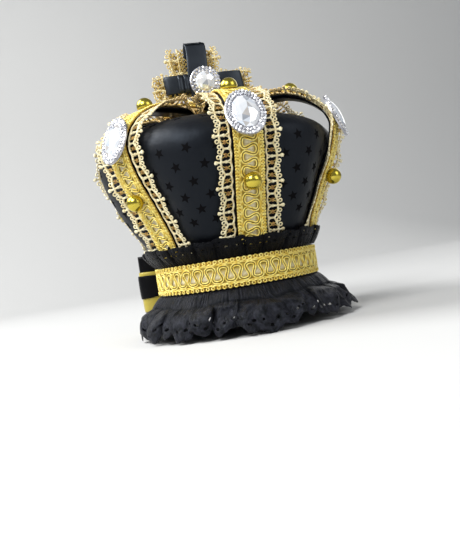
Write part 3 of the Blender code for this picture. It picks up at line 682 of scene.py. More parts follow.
def thread(name, dark, light, roughness, metallic, turns_per_mm=1.4, depth=0.00008, painted_warm_shade=None):
    """Metallic thread: twisted plies, in a tone that changes along it, and if asked, darkening along x
    into a painted warm shade.
    """
    made, tree, shader = material(name, light, roughness, metallic)
    spun = grouped(tree, twist, Turns_per_mm=turns_per_mm)
    colour = mixed(tree, ranged(tree, spun["Tone"], 0.35, 0.65), dark, light)
    if painted_warm_shade:
        first, last, deep = painted_warm_shade
        colour = mixed(tree, ranged(tree, flat_xy(tree)["X"], first, last, 0.0, 0.7), colour, deep)
    feed(tree, shader, Base_Color=colour, Normal=bumped(tree, spun["Height"], 0.7, depth))
    return made


gold_cord = thread("gold_cord", (0.80, 0.57, 0.07), (1.0, 0.88, 0.30), 0.34, 0.34)
# The dark cord between the winding pair paints the shade in the gap between them.
gap_shade_cord = thread("gap_shade_cord", (0.16, 0.11, 0.015), (0.30, 0.22, 0.035), 0.45, 0.4)


def braid_ground(name, glint_from, glint_to):
    """Woven ground: amber towards the edges, with a painted pale highlight on its raised threads in the
    middle and painted orange brown shade under the edge curls.
    """
    made, tree, shader = material(name, (0.80, 0.70, 0.45), 0.42, 0.12)
    across = flat_xy(tree)["Y"]
    far = calc(tree, "ABSOLUTE", across)
    # Painted highlight: the middle of the ground is painted pale where its raised threads would catch
    # the light.
    pale = calc(tree, "MULTIPLY", ranged(tree, across, glint_from, glint_to),
                ranged(tree, far, 0.0036, 0.0018))
    woven = calc(tree, "ADD", grouped(tree, twist, Turns_per_mm=1.1, Lean=0.15)["Height"],
                 grouped(tree, twist, Turns_per_mm=0.5, Lean=6.0)["Height"])
    painted_glint = calc(tree, "MULTIPLY", pale, ranged(tree, woven, -1.2, 1.0))
    inner = mixed(tree, painted_glint, (0.46, 0.33, 0.045), (1.0, 0.97, 0.80))
    # Painted shade: the ground under the edge curls is painted orange brown.
    colour = mixed(tree, ranged(tree, far, 0.0050, 0.0058), inner, (0.56, 0.33, 0.04))
    feed(tree, shader, Base_Color=colour, Normal=bumped(tree, woven, 0.6, 0.00015))
    return made


arch_ground = braid_ground("arch_ground", -0.012, -0.011)

# The lace, in flat scallops: a wavy inner cord beside the braid, two windows with a bronze knot
# held in each, an outer cord in bows, and four small rings and a fat knot round each bow.
SCALLOP = 0.0158
LACE_CORD = 0.00132
RING_CORD = 0.00092
HOLD_CORD = 0.00065
BAND_WIDTH = LACE_HALF - BRAID_HALF
INNER_EDGE = 0.0015
INNER_WAVE = 0.00035
INNER_POINTS = 9
BOW_LOW = 0.0057
BOW_HIGH = 0.0080
BOW_POINTS = 11
RING_RADIUS = 0.00108
RING_POINTS = 9
RING_SPACE = 0.0006
RING_SHARES = (-0.385, -0.195, 0.195, 0.385)
STITCH_JITTER = 0.00020
FORK_HALF = 0.07
FORK_DROP = 0.0003
TIP_KNOT = 0.0110
TIP_CORD = 0.0108
KNOT_SIZES = (0.0012, 0.00145, 0.0008)
BRONZE_KNOT = 0.00135
BRONZE_OUT = 0.0002
HOLD_LEAN = 0.09
NET_STEP = 0.0026
NET_POINTS = 9
NET_JITTER = 0.0003


def ring(centre, radius, points):
    """A closed round line."""
    turns = [2 * math.pi * k / points for k in range(points)]
    return [(centre[0] + radius * math.cos(turn), centre[1] + radius * math.sin(turn), 0.0)
            for turn in turns], True


def bow_at(share):
    """The outer cord's place off the braid's edge, at a share of a scallop."""
    return BOW_LOW + (BOW_HIGH - BOW_LOW) * math.sin(math.pi * share) ** 0.8


def scallop_lines(start, side, inner):
    """Main cords, ring cords, holding threads, pale knots and bronze knots of one scallop."""
    def at(share, out):
        jitter = random.uniform(-STITCH_JITTER, STITCH_JITTER)
        return (start + SCALLOP * share, side * (inner + out + jitter), 0.0)

    main = [([at(k / INNER_POINTS, INNER_EDGE + INNER_WAVE * math.cos(4 * math.pi * k / INNER_POINTS))
              for k in range(INNER_POINTS + 1)], False),
            ([at(k / BOW_POINTS, bow_at(k / BOW_POINTS)) for k in range(BOW_POINTS + 1)], False)]
    for share in (0.0, 0.5):
        reach = bow_at(share)
        fork = (INNER_EDGE + reach) / 2 - FORK_DROP
        main.append(([at(share - FORK_HALF, INNER_EDGE), at(share, fork),
                      at(share + FORK_HALF, INNER_EDGE)], False))
        main.append(([at(share, fork), at(share, reach)], False))
    pale = [(*at(0.5, (INNER_EDGE + bow_at(0.5)) / 2), KNOT_SIZES[0]),
            (*at(0.5, TIP_KNOT), KNOT_SIZES[1]),
            (*at(0.0, (INNER_EDGE + BOW_LOW) / 2), KNOT_SIZES[2])]
    rings, hold, bronze = [], [], []
    main.append(([at(0.5, BOW_HIGH), at(0.5, TIP_CORD)], False))
    for share in RING_SHARES:
        out = bow_at(0.5 + share) + RING_RADIUS + RING_SPACE
        rings.append(ring(at(0.5 + share * 1.06, out), RING_RADIUS, RING_POINTS))
    for share in (0.25, 0.75):
        bronze.append((*at(share, (INNER_EDGE + bow_at(share)) / 2 + BRONZE_OUT), BRONZE_KNOT))
        for lean in (-HOLD_LEAN, HOLD_LEAN):
            hold.append(([at(share + lean, INNER_EDGE), at(share - lean, bow_at(share))], False))
    return main, rings, hold, pale, bronze


def knot_mesh(knots, stretch):
    """Small flattened knots of thread from (x, y, z, size) rows."""
    bm = bmesh.new()
    for x, y, z, size in knots:
        placed = Matrix.Translation((x, y, z)) @ Matrix.Diagonal((*stretch, 1.0))
        bmesh.ops.create_icosphere(bm, subdivisions=1, radius=size, matrix=placed)
    return mesh_of(bm, "knots")


def scalloped_lace(name, length, inner, sides=(-1, 1), net=False):
    """Flat lace with scalloped edges and, if asked, a net between them."""
    count = max(1, round(length / SCALLOP))
    main, rings, hold, pale, bronze = kinds = [[] for kind in range(5)]
    for side in sides:
        for k in range(count):
            for kind, more in zip(kinds, scallop_lines(k * SCALLOP, side, inner)):
                kind += more
    if net:
        run, reach = count * SCALLOP, inner + INNER_EDGE
        for k in range(int((run + 2 * reach) / NET_STEP)):
            x = k * NET_STEP - reach
            for lean in (-1, 1):
                points = [(x + lean * y, y, random.uniform(-NET_JITTER, NET_JITTER))
                          for y in np.linspace(-reach, reach, NET_POINTS) if 0 <= x + lean * y <= run]
                if len(points) > 1:
                    hold.append((points, False))
    made = joined(name, [(cords(main, LACE_CORD), 0), (cords(rings, RING_CORD), 0),
                         (cords(hold, HOLD_CORD), 2), (knot_mesh(pale, (1.0, 1.0, 0.6)), 0),
                         (knot_mesh(bronze, (1.2, 0.85, 0.5)), 1)])
    made.transform(Matrix.Diagonal((length / (count * SCALLOP), 1.0, 1.0, 1.0)))
    return made


# The lace of each arch darkens to a painted warm shade towards the top of the arch.
champagne = thread("champagne_thread", (0.76, 0.62, 0.32), (1.0, 0.93, 0.64), 0.38, 0.12, 2.0,
                   0.00010, (arch_length * 0.66, arch_length * 0.80, (0.70, 0.46, 0.15)))
bronze_thread = thread("bronze_thread", (0.22, 0.11, 0.03), (0.55, 0.33, 0.10), 0.42, 0.4, 2.0, 0.00006)
dull_thread = thread("dull_thread", (0.42, 0.29, 0.07), (0.68, 0.51, 0.17), 0.42, 0.5, 2.0, 0.00005)


def lay_lace(name, mesh, lay, replaced=(), main=champagne):
    """A laid lace as a piece, with its three threads."""
    add_piece(name, faced_out(laid(mesh, lay)), [main, bronze_thread, dull_thread],
              replaced)


def lay_braid(name, length, loops, lay, ground, replaced):
    """A laid gimp braid as a piece."""
    braid = faced_out(laid(gimp_braid(name, length, loops), lay))
    add_piece(name, braid, [gold_cord, ground, gap_shade_cord], replaced)


for number, stands in enumerate(EDGE_STANDS, 1):
    turn = 2 * math.pi * (number - 1) / ARCHES
    mark = "_%d" % number
    plain = arch_layer(turn)
    lining = strip(arch_length, BRAID_HALF, -LINING_DEEP, LINING_THICK, 60)
    add_piece("lining" + mark, faced_out(laid(lining, plain)), [black_satin],
              ["arch_lining" + mark])
    lace = scalloped_lace("lace" + mark, arch_length, BRAID_HALF)
    lace.transform(Matrix.Translation((0.0, 0.0, -LACE_DEEP)))
    draped = drape_grid(turn, stands, FREE_STANDS.get(number, (0.0, 0.0)))
    lay_lace("lace" + mark, lace, arch_layer(turn, draped), ["arch_lace" + mark])
    lay_braid("braid" + mark, arch_length, ARCH_LOOPS, plain, arch_ground, ["arch_braid" + mark])

# Band braid
# The same gimp braid, sewn round the ring with its ends butted under the bow.
band_radius = braid_high.x


def polar(reach, turn, height):
    """Points at a reach, a turn from the front and a height."""
    return np.stack([reach * np.sin(turn), -reach * np.cos(turn), height], 1)


def round_band(flat):
    return polar(band_radius + flat[:, 2], flat[:, 0] / band_radius + math.pi, band_middle + flat[:, 1])


# On the band the ground's painted highlight falls on its lower half only.
lay_braid("braid_band", 2 * math.pi * band_radius, BAND_LOOPS, round_band,
          braid_ground("band_ground", 0.0030, -0.0010), ["band_braid"])

# Beads
# Plated plastic balls, sewn down through a hole in their backs: bright lemon gold, very faintly
# uneven, so that their reflections waver. The ones on top are half-round.
plated, tree, shader = material("plated_gold", (0.61, 0.49, 0.07), 0.15, 1.0)
waver = noise(tree, 320.0)
feed(tree, shader, Roughness=ranged(tree, waver, 0.35, 0.75, 0.17, 0.30),
     Normal=bumped(tree, waver, 0.25, 0.0002))


def ball_of(name):
    """Centre, radius and the direction and distance of the flat back of a CAD bead."""
    bm = bmesh.new()
    bm.from_mesh(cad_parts[name].data)
    bmesh.ops.remove_doubles(bm, verts=bm.verts, dist=WELD)
    bmesh.ops.dissolve_limit(bm, angle_limit=0.02, verts=bm.verts, edges=bm.edges)
    back = max(bm.faces, key=lambda face: len(face.verts)).normal.copy()
    corners = np.array([v.co for v in bm.verts])
    bm.free()
    rows = np.hstack([2 * corners, np.ones((len(corners), 1))])
    centre = np.linalg.lstsq(rows, (corners ** 2).sum(1), rcond=None)[0][:3]
    flat = min(float((corner - centre) @ -np.array(back)) for corner in corners)
    return Vector(centre), float(np.linalg.norm(corners - centre, axis=1).mean()), back, -flat


for number in range(1, ARCHES + 1):
    for cad_name, name in (("arch_bead", "bead"), ("top_bead", "high_bead")):
        centre, radius, back, reach = ball_of("%s_%d" % (cad_name, number))
        bm = bmesh.new()
        bmesh.ops.create_uvsphere(bm, u_segments=36, v_segments=24, radius=radius,
                                  matrix=Matrix.Translation(centre))
        for vert in bm.verts:
            vert.co -= back * max(0.0, (vert.co - centre).dot(back) - reach)
        add_piece("%s_%d" % (name, number), mesh_of(bm, name), [plated],
                  ["%s_%d" % (cad_name, number)])

# Set stones
# Oval rhinestone buttons: a cast silver cup, two rows of small stones round it, and a large
# foiled crystal with a table. The cross has a round one.
OVAL = (0.025, 0.031)
OVAL_STONE = (0.0170, 0.0224)
OVAL_SPACING = 2.15
ROUND = (0.022, 0.022)
ROUND_STONE = (0.0148, 0.0148)
ROUND_SPACING = 2.6
SEAT_GAP = 0.0003
SMALL_STONE = 0.00098
HALO_INSET = 0.9
HALO_STEP = 2.05
HALO_HEIGHTS = (0.0019, 0.0023)
HALO_POINTS = 240
CUP_SIDES = 56
CUP_STEPS = [
    # inward from the rim, height
    (0.0, 0.0012),
    (0.0007, 0.0016),
    (0.0040, 0.0019),
]
STONE_SIDES = 10
STONE_LOW = 0.0014
STONE_ROWS = [
    # share of the stone's width from its middle, height above its foot
    (0.50, 0.0),
    (0.50, 0.0009),
    (0.40, 0.0022),
    (0.25, 0.0031),
]
STONE_TIP = (0.05, 0.06, 0.0005)
# Painted reflections: the tones that the facets of the small and the large stones are painted in.
HALO_REFLECTIONS = [(1.0, 1.0, 1.0), (0.72, 0.74, 0.79), (0.90, 0.92, 0.97), (0.34, 0.35, 0.39),
              (1.0, 0.97, 0.93)]
BRIGHT_REFLECTIONS = [(1.0, 1.0, 1.0), (0.93, 0.96, 1.0), (0.97, 0.98, 1.0), (0.84, 0.90, 0.98)]
REFLECTION_BAND_TONES = [(0.50, 0.48, 0.47), (0.62, 0.58, 0.54), (0.42, 0.45, 0.50), (0.60, 0.68, 0.78)]
REFLECTION_BAND_SHARE = 0.17
REFLECTION_BAND_LEAN = 0.5

silver, tree, shader = material("silver_cup", (0.50, 0.50, 0.54), 0.32, 1.0)
feed(tree, shader, Normal=bumped(tree, noise(tree, 900.0, 3.0), 0.4, 0.0001))


def cut_glass(name, roughness, metallic):
    """Foiled cut glass, each facet painted in the tone of the reflection that it throws back."""
    made, tree, shader = material(name, (1.0, 1.0, 1.0), roughness, metallic, Coat_Weight=1.0,
                                  Coat_Roughness=0.02)
    veil = ranged(tree, noise(tree, 260.0), 0.3, 0.7, 0.0, 0.35)
    facet_reflection = node(tree, "VertexColor", layer_name="facet_reflection")
    feed(tree, shader, Base_Color=mixed(tree, veil, facet_reflection, (0.93, 0.96, 1.0)))
    return made


crystal = cut_glass("crystal_cut", 0.05, 0.40)
rhinestone = cut_glass("rhinestone", 0.10, 0.45)


def paint_facet_reflections(bm, tones_at):
    """Paint each face in one of the reflection tones that its middle calls for."""
    layer = bm.loops.layers.float_color.new("facet_reflection")
    for face in bm.faces:
        tone = random.choice(tones_at(face.calc_center_median()))
        for loop in face.loops:
            loop[layer] = (*tone, 1.0)


def cut_stone(wide, long):
    """A large foiled stone: a girdle, two rows of facets above it, and a shallow pointed table."""
    bm = bmesh.new()
    rings = []
    for level, (share, height) in enumerate(STONE_ROWS):
        count = STONE_SIDES if level < 3 else STONE_SIDES // 2
        circle = bmesh.ops.create_circle(bm, segments=count, radius=1.0)["verts"]
        spin = math.pi / STONE_SIDES if level == 2 else 0.0
        for k, vert in enumerate(circle):
            a = 2 * math.pi * k / count + spin
            vert.co = (wide * share * math.cos(a), long * share * math.sin(a), STONE_LOW + height)
        rings.append(circle)
    for low_ring, high_ring in zip(rings, rings[1:]):
        rims = {e for circle in (low_ring, high_ring) for v in circle for e in v.link_edges
                if e.other_vert(v) in circle}
        bmesh.ops.bridge_loops(bm, edges=list(rims))
    bottom = bm.faces.new(rings[0])
    tip = bm.verts.new((wide * STONE_TIP[0], long * STONE_TIP[1],
                        STONE_LOW + STONE_ROWS[-1][1] + STONE_TIP[2]))
    top = list(rings[-1])
    for a, b in zip(top, top[1:] + top[:1]):
        bm.faces.new((a, b, tip))
    bmesh.ops.triangulate(bm, faces=[f for f in bm.faces if f != bottom])
    bmesh.ops.recalc_face_normals(bm, faces=bm.faces)
    # A diagonal band of darker facets across the large stone is a painted reflection.
    across = Vector((math.cos(REFLECTION_BAND_LEAN), -math.sin(REFLECTION_BAND_LEAN) * wide / long, 0.0))
    dark = REFLECTION_BAND_SHARE * wide / 2
    paint_facet_reflections(bm, lambda at: REFLECTION_BAND_TONES if abs(at.dot(across)) < dark else BRIGHT_REFLECTIONS)
    return mesh_of(bm, "stone")


def stone_ring(bm, wide, long, count, size, height):
    """Small cut stones set side by side round an oval."""
    turns = [2 * math.pi * k / HALO_POINTS for k in range(HALO_POINTS)]
    spots = [(wide * math.cos(turn), long * math.sin(turn)) for turn in turns]
    lengths = [0.0]
    for a, b in zip(spots, spots[1:] + spots[:1]):
        lengths.append(lengths[-1] + math.dist(a, b))
    for k in range(count):
        want = lengths[-1] * k / count
        i = next(n for n in range(1, len(lengths)) if lengths[n] >= want) - 1
        spun = (Matrix.Rotation(random.uniform(0, 6), 4, "Z")
                @ Matrix.Rotation(random.uniform(-0.2, 0.2), 4, "X"))
        placed = Matrix.Translation((*spots[i], height)) @ Matrix.Diagonal((1.0, 1.0, 0.8, 1.0)) @ spun
        bmesh.ops.create_icosphere(bm, subdivisions=1, radius=size, matrix=placed)


def set_stone(label, matrix, size, stone_size, spacing, cad_name):
    """A whole rhinestone button, its back on the matrix's origin plane."""
    bm = bmesh.new()
    base = bmesh.ops.create_circle(bm, cap_ends=True, segments=CUP_SIDES, radius=0.5)["verts"]
    for vert in base:
        vert.co = (vert.co.x * size[0], vert.co.y * size[1], 0.0)
    back = face = bm.faces[:][0]
    last = 0.0
    for inward, height in CUP_STEPS:
        grown = bmesh.ops.extrude_face_region(bm, geom=[face])["geom"]
        if face != back:
            bmesh.ops.delete(bm, geom=[face], context="FACES_ONLY")
        face = next(f for f in grown if isinstance(f, bmesh.types.BMFace))
        for vert in face.verts:
            vert.co.x *= 1 - 2 * (inward - last) / size[0]
            vert.co.y *= 1 - 2 * (inward - last) / size[1]
            vert.co.z = height
        last = inward
    bmesh.ops.recalc_face_normals(bm, faces=bm.faces)
    cup = mesh_of(bm, "cup")
    bm = bmesh.new()
    half = [side / 2 - SMALL_STONE * HALO_INSET for side in size]
    for height in HALO_HEIGHTS:
        wide, long = half
        around = math.pi * (3 * sum(half) - math.sqrt((3 * wide + long) * (wide + 3 * long)))
        stone_ring(bm, wide, long, int(around / (SMALL_STONE * spacing)), SMALL_STONE, height)
        half = [side - SMALL_STONE * HALO_STEP for side in half]
    paint_facet_reflections(bm, lambda at: HALO_REFLECTIONS)
    setting = joined(label + "_setting", [(cup, 0), (mesh_of(bm, "small_stones"), 1)])
    setting.transform(matrix)
    add_piece(label + "_halo", setting, [silver, rhinestone],
              [cad_name + "_setting"], smooth=False)
    stone = cut_stone(*stone_size)
    stone.transform(matrix)
    add_piece(label + "_crystal", stone, [crystal], [cad_name + "_stone"], smooth=False)


middle_line = np.linspace(0.0, arch_length, 400)
spots = on_line(middle_line)[0]
for number in range(1, ARCHES + 1):
    name = "jewel_%d" % number
    out, side, up = arch_axes(2 * math.pi * (number - 1) / ARCHES)
    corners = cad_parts[name + "_setting"].data.vertices
    centre = sum((v.co for v in corners), Vector()) / len(corners)
    far = np.hypot(spots[:, 0] - centre.dot(Vector(out)), spots[:, 1] - centre.z)
    spot, normal = (rows[0] for rows in on_line(middle_line[[far.argmin()]]))
    away = Vector(out * normal[0] + up * normal[1])
    seat = Matrix((Vector(side), away.cross(Vector(side)), away)).transposed().to_4x4()
    seat.translation = Vector(out * spot[0] + up * spot[1]) + away * SEAT_GAP
    set_stone(name, seat, OVAL, OVAL_STONE, OVAL_SPACING, name)

low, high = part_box("cross_jewel_setting")
seat = (Matrix.Translation(((low.x + high.x) / 2, high.y, (low.z + high.z) / 2))
        @ Matrix.Rotation(math.pi / 2, 4, "X"))
set_stone("cross_button", seat, ROUND, ROUND_STONE, ROUND_SPACING, "cross_jewel")

# Centre disc
# A disc of coiled gold cord over the six arch ends, with a strip of gold lace gathered round it.
COIL_CORD = 0.0014
COIL_TURNS = 13
COIL_STEPS = 40
ROSETTE_INSIDE = 0.0085
ROSETTE_WIDTH = 0.0145
ROSETTE_SCALLOPS = 10
ROSETTE_FOLD = 0.0014
ROSETTE_UP = 0.0010
ROSETTE_ON_ARCH = 0.0026
ROSETTE_DROP = 0.0085
ROSETTE_STAND = 0.0030
ROSETTE_OFF_CAP = 0.0012
ROSETTE_CAST = 0.02

disc_low, disc_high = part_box("top_disc")
rosette_length = ROSETTE_SCALLOPS * SCALLOP
steps = np.linspace(0.3, COIL_TURNS * 2 * math.pi, COIL_TURNS * COIL_STEPS)
coil_line = [(COIL_CORD * t * t / (4 * math.pi), 0.0, -COIL_CORD / 2) for t in steps]
coil = cords([(coil_line, False)], COIL_CORD)


def coiled(flat):
    turn = np.sqrt(4 * math.pi * np.maximum(flat[:, 0], 0.0) / COIL_CORD)
    return polar(COIL_CORD * turn / (2 * math.pi) + flat[:, 1], turn, disc_high.z + flat[:, 2])


disc = merged_copy("top_disc")
for vert in disc.verts:
    vert.co.z -= COIL_CORD / 2 * (vert.co.z - disc_low.z) / (disc_high.z - disc_low.z)
coil = joined("disc_coil", [(faced_out(laid(coil, coiled)), 0), (mesh_of(disc, "plate"), 1)])
add_piece("disc_coil", coil, [gold_cord, dull_thread], ["top_disc"])


def round_disc(flat):
    turn = flat[:, 0] / rosette_length * 2 * math.pi
    share = np.clip(flat[:, 1] / ROSETTE_WIDTH, 0, 1)
    between = (1 - np.cos(ARCHES * turn)) / 2
    fold = ROSETTE_FOLD * np.sin(turn * 23 + 1)
    rise = ROSETTE_ON_ARCH * (1 - between) + ROSETTE_STAND * np.maximum(-np.sin(turn), 0.0) + fold
    height = disc_high.z + ROSETTE_UP + flat[:, 2] + share * rise
    height -= ROSETTE_DROP * between ** 1.5 * share ** 1.3
    spots = polar(ROSETTE_INSIDE + flat[:, 1] + share * fold, turn, height)
    down = Vector((0.0, 0.0, -1.0))
    for spot in spots:
        above = Vector((spot[0], spot[1], disc_high.z + ROSETTE_CAST))
        spot[2] = max(spot[2], cap_tree.ray_cast(above, down)[0].z + ROSETTE_OFF_CAP)
    return spots


deep_gold = thread("deep_gold_thread", (0.70, 0.50, 0.16), (1.0, 0.91, 0.56), 0.36, 0.22, 2.0, 0.00010)
rosette = scalloped_lace("rosette", rosette_length, 0.002, sides=(1,), net=True)
lay_lace("rosette", rosette, round_disc, main=deep_gold)

# Cross
# Loops of black satin ribbon, one upright and one to each side, pressed but not flat, with two
# small pleats in the left one. They stand on gold lace and are sewn down to the disc.
LOOP_SOFTNESS = 0.0011
UPRIGHT_SOFTNESS = 0.0026
FOLD_START = 0.94
FOLD_FLAT = 0.55
SKEW_START = 0.55
SKEW = Vector((-0.0024, 0.0, 0.0040))
LEAN_START = 0.42
LEAN = 0.0075
LEAN_END = Vector((0.0012, 0.0, -0.0016))
PLEATS = (0.0125, 0.0168)
PLEAT_HALF = 0.0019
PLEAT_DEEP = 0.0022
PLEAT_CURL = 0.0007
PLEAT_OUT = 0.0003
PLEAT_SHORT = 0.0006
PLEAT_THICK = 0.0004
PLEAT_STEPS = 4

ribbon_satin = satin("ribbon_satin", (0.002, 0.002, 0.003), (0.005, 0.006, 0.009), 0.40, 0.0009,
                     Specular_IOR_Level=0.62, Specular_Tint=(0.74, 0.86, 1.0, 1.0))
for name in ("cross_upright", "cross_bar_left", "cross_bar_right"):
    low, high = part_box(name)
    mesh = subdivided(name, name + "_ribbon")
    tall = high.z - low.z > high.x - low.x
    axis = 2 if tall else 0
    for vert in mesh.vertices:
        share = (vert.co[axis] - low[axis]) / (high[axis] - low[axis])
        outward = 1 if vert.co.y > (low.y + high.y) / 2 else -1
        softness = UPRIGHT_SOFTNESS if tall else LOOP_SOFTNESS
        vert.co.y += outward * softness * (math.sin(math.pi * share) - 0.4)
        if tall:
            vert.co.y *= 1 + FOLD_FLAT * max(0.0, (share - FOLD_START) / (1 - FOLD_START))
            behind = min(max((vert.co.y - low.y) / (high.y - low.y), 0.0), 1.0)
            vert.co += (SKEW * behind + LEAN_END) * max(0.0, (share - SKEW_START) / (1 - SKEW_START))
            vert.co.x -= LEAN * (1 - max(share, LEAN_START))
    add_piece(name + "_ribbon", mesh, [ribbon_satin], [name])

low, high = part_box("cross_bar_left")
bm = bmesh.new()
for start in PLEATS:
    foot = Vector((low.x + start, low.y, low.z + PLEAT_SHORT))
    fold = bmesh.ops.create_circle(bm, segments=14, radius=1.0,
                                   matrix=Matrix.Translation(foot))["verts"]
    for vert in fold:
        away = vert.co - foot
        vert.co = foot + Vector((away.x * PLEAT_HALF + away.y * PLEAT_CURL,
                                 away.y * PLEAT_DEEP / 2 - PLEAT_OUT, 0.0))
    rim = {e for v in fold for e in v.link_edges}
    for step in range(PLEAT_STEPS):
        grown = bmesh.ops.extrude_edge_only(bm, edges=list(rim))["geom"]
        rim = [e for e in grown if isinstance(e, bmesh.types.BMEdge)
               and all(abs(v.co.z - e.verts[0].co.z) < 1e-7 for v in e.verts)]
        for vert in {v for e in rim for v in e.verts}:
            vert.co.z += (high.z - low.z - 2 * PLEAT_SHORT) / PLEAT_STEPS
bmesh.ops.recalc_face_normals(bm, faces=bm.faces)
bmesh.ops.solidify(bm, geom=bm.faces[:], thickness=PLEAT_THICK)
add_piece("cross_pleats", mesh_of(bm, "pleats"), [ribbon_satin])

CROSS_LAYERS = [
    # how far behind the lace's middle, what its half width gains
    (-0.0013, 0.0015),
    (0.0, -0.0008),
    (0.0013, -0.0035),
]
CROSS_LACE_SHIFT = -0.0042
CROSS_LACE_TRIM = 0.0024
CROSS_LACE_RISE = 0.0025
BAR_LACE_DROOP = 0.0032
DROOP_ALONG = 0.4
DROOP_ACROSS = 0.006

for name, standing in (("cross_lace_bar", False), ("cross_lace_upright", True)):
    low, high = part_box(name)
    length, across = (high.z - low.z, high.x - low.x) if standing else (high.x - low.x, high.z - low.z)
    length += CROSS_LACE_RISE if standing else 0.0
    middle = (low + high) / 2
    layers = []
    for number, (offset, wider) in enumerate(CROSS_LAYERS):
        half = across / 2 + wider - (CROSS_LACE_TRIM if standing else 0.0)
        inner = max(half - BAND_WIDTH, 0.0)
        start = SCALLOP / 4 * number
        layer = scalloped_lace(name, length - start, inner, net=True)
        for face in layer.polygons:
            if number == 2 or face.material_index == 1:
                face.material_index = 2
        layer.transform(Matrix.Translation((start * 0.5, 0.0, offset)))
        layer.transform(Matrix.Diagonal((1.0, min(1.0, half / (inner + BAND_WIDTH)), 1.0, 1.0)))
        layers.append((layer, None))

    def on_cross(flat):
        ripple = np.sin(flat[:, 0] * 420) * 0.0005 + np.sin(flat[:, 1] * 500 + 1) * 0.0004
        deep = middle.y + flat[:, 2] + ripple
        if standing:
            return np.stack([middle.x + CROSS_LACE_SHIFT + flat[:, 1], deep, low.z + flat[:, 0]], 1)
        droop = BAR_LACE_DROOP * np.clip(0.5 - flat[:, 0] / length, 0, DROOP_ALONG) / DROOP_ALONG
        droop *= np.clip(-flat[:, 1] / DROOP_ACROSS, 0, 1)
        return np.stack([low.x + flat[:, 0], deep, middle.z + flat[:, 1] - droop], 1)

    lay_lace(name + "_gold", joined(name, layers), on_cross, [name], deep_gold)


# Frill and ruffle
# Black cotton lace gathered on a thread: finely ribbed, with a stitched line and a hem of points
# that each have an eyelet. The frill stands up behind the band, the ruffle hangs below it.
RIBS_WAVE = 15000.0
COURSES_WAVE = 12500.0


def lace_cloth(name, dark, light, specular):
    """Fine black cotton lace cloth in a streaky tone from dark to light, with painted shade in its
    folds, where it is also dull.
    """
    made, tree, shader = material(name, light, 0.36, 0.0, Specular_IOR_Level=specular,
                                  Specular_Tint=(0.80, 0.88, 1.0, 1.0))
    spread = flat_xy(tree)
    weave = calc(tree, "ADD", *(calc(tree, "SINE", calc(tree, "MULTIPLY", spread[part], wave))
                                for part, wave in (("X", RIBS_WAVE), ("Y", COURSES_WAVE))))
    streaks = node(tree, "VectorMath", {0: node(tree, "TexCoord", out="UV"), 1: (3.2, 1.0, 1.0)},
                   operation="MULTIPLY")
    streak_noise = noise(tree, 170.0, 6.0, 0.7, streaks)
    # Painted light: a value kept on each point scales the colour, dark as painted shade in the folds,
    # gathers and tuck, and light on the crests.
    painted_light_attribute = node(tree, "Attribute", out="Fac", attribute_name="painted_fold_light")
    painted_light_factor = ranged(tree, painted_light_attribute, 0.20, 0.90, 0.05, 1.15)
    streak_tone = mixed(tree, ranged(tree, streak_noise, 0.42, 0.62), dark, light)
    crumple = bumped(tree, streak_noise, 0.9, 0.0022)
    feed(tree, shader, Base_Color=node(tree, "VectorMath", {0: streak_tone, 1: painted_light_factor}, operation="MULTIPLY"),
         Roughness=ranged(tree, painted_light_factor, 0.0, 1.0, 0.75, 0.36),
         Normal=bumped(tree, weave, 0.4, 0.00008, Normal=crumple))
    return made


def in_scallop(x, pitch):
    """Place across a hem scallop, from -1 to 1 with 0 at its point."""
    return 2 * np.mod(x / pitch, 1.0) - 1


def in_eyelet(x, y, cut, pitch, eyelets):
    """Whether a flat place is in one of the eyelets that each scallop has."""
    across = abs(in_scallop(x, pitch) * pitch / 2)
    return any(near <= across < far and low < cut - y < high for near, far, low, high in eyelets)


def gathered(name, cloth, cut, pitch, eyelets, columns, rows, wall, lay, painted_light_at):
    """A strip cut flat as cloth by cut, with the eyelets of its hem and the painted light of its folds,
    laid in its folds.
    """
    bm = flat_grid(cloth, 0.0, cut, 0.0, columns, rows)
    open_faces = [face for face in bm.faces
                  if in_eyelet(*face.calc_center_median().xy, cut, pitch, eyelets)]
    bmesh.ops.delete(bm, geom=open_faces, context="FACES")
    flat = mesh_of(bm, name)
    places = np.empty(len(flat.vertices) * 3, np.float32)
    flat.vertices.foreach_get("co", places)
    # Each point keeps the painted light of its place in the folds: painted shade in them, light on
    # their crests.
    painted_light_factor = flat.attributes.new("painted_fold_light", "FLOAT", "POINT")
    painted_light_factor.data.foreach_set("value", painted_light_at(places.reshape(-1, 3)).astype(np.float32))
    bm = bmesh.new()
    bm.from_mesh(laid(flat, lay))
    bmesh.ops.remove_doubles(bm, verts=bm.verts, dist=SEAM_WELD)
    return evaluated(name, mesh_of(bm, name), "SOLIDIFY", thickness=wall, offset=0.0)


def turn_at(flat, cloth):
    """Turn from the front of the places on a strip, whose ends meet at the back."""
    return flat[:, 0] / cloth * 2 * math.pi + math.pi


def hemmed(flat, cut, pitch, deep, picot):
    """Share of the way to the edge, drawn up so that it ends in scallops and picots."""
    hem = cut - deep * np.abs(in_scallop(flat[:, 0], pitch)) ** 1.2
    hem -= picot * (1 + np.cos(2 * math.pi * flat[:, 0] / PICOT))
    share = np.clip(flat[:, 1] / cut, 0, 1)
    return share * (1 - share * (1 - hem / cut))


def folds_at(turn, table):
    """Share of the way across the fold, its width, swell, point height and its ends' height."""
    starts = np.radians([row[0] for row in table])
    turn = np.mod(turn - starts[0], 2 * math.pi)
    starts = np.append(starts - starts[0], 2 * math.pi)
    index = np.clip(np.searchsorted(starts, turn, side="right") - 1, 0, len(table) - 1)
    rows = np.array([row[1:] for row in table + table[:1]])
    width = starts[index + 1] - starts[index]
    share = (turn - starts[index]) / width
    ends = rows[index, 2] * (1 - share) + rows[index + 1, 2] * share
    return share, width, rows[index, 0], rows[index, 1], ends


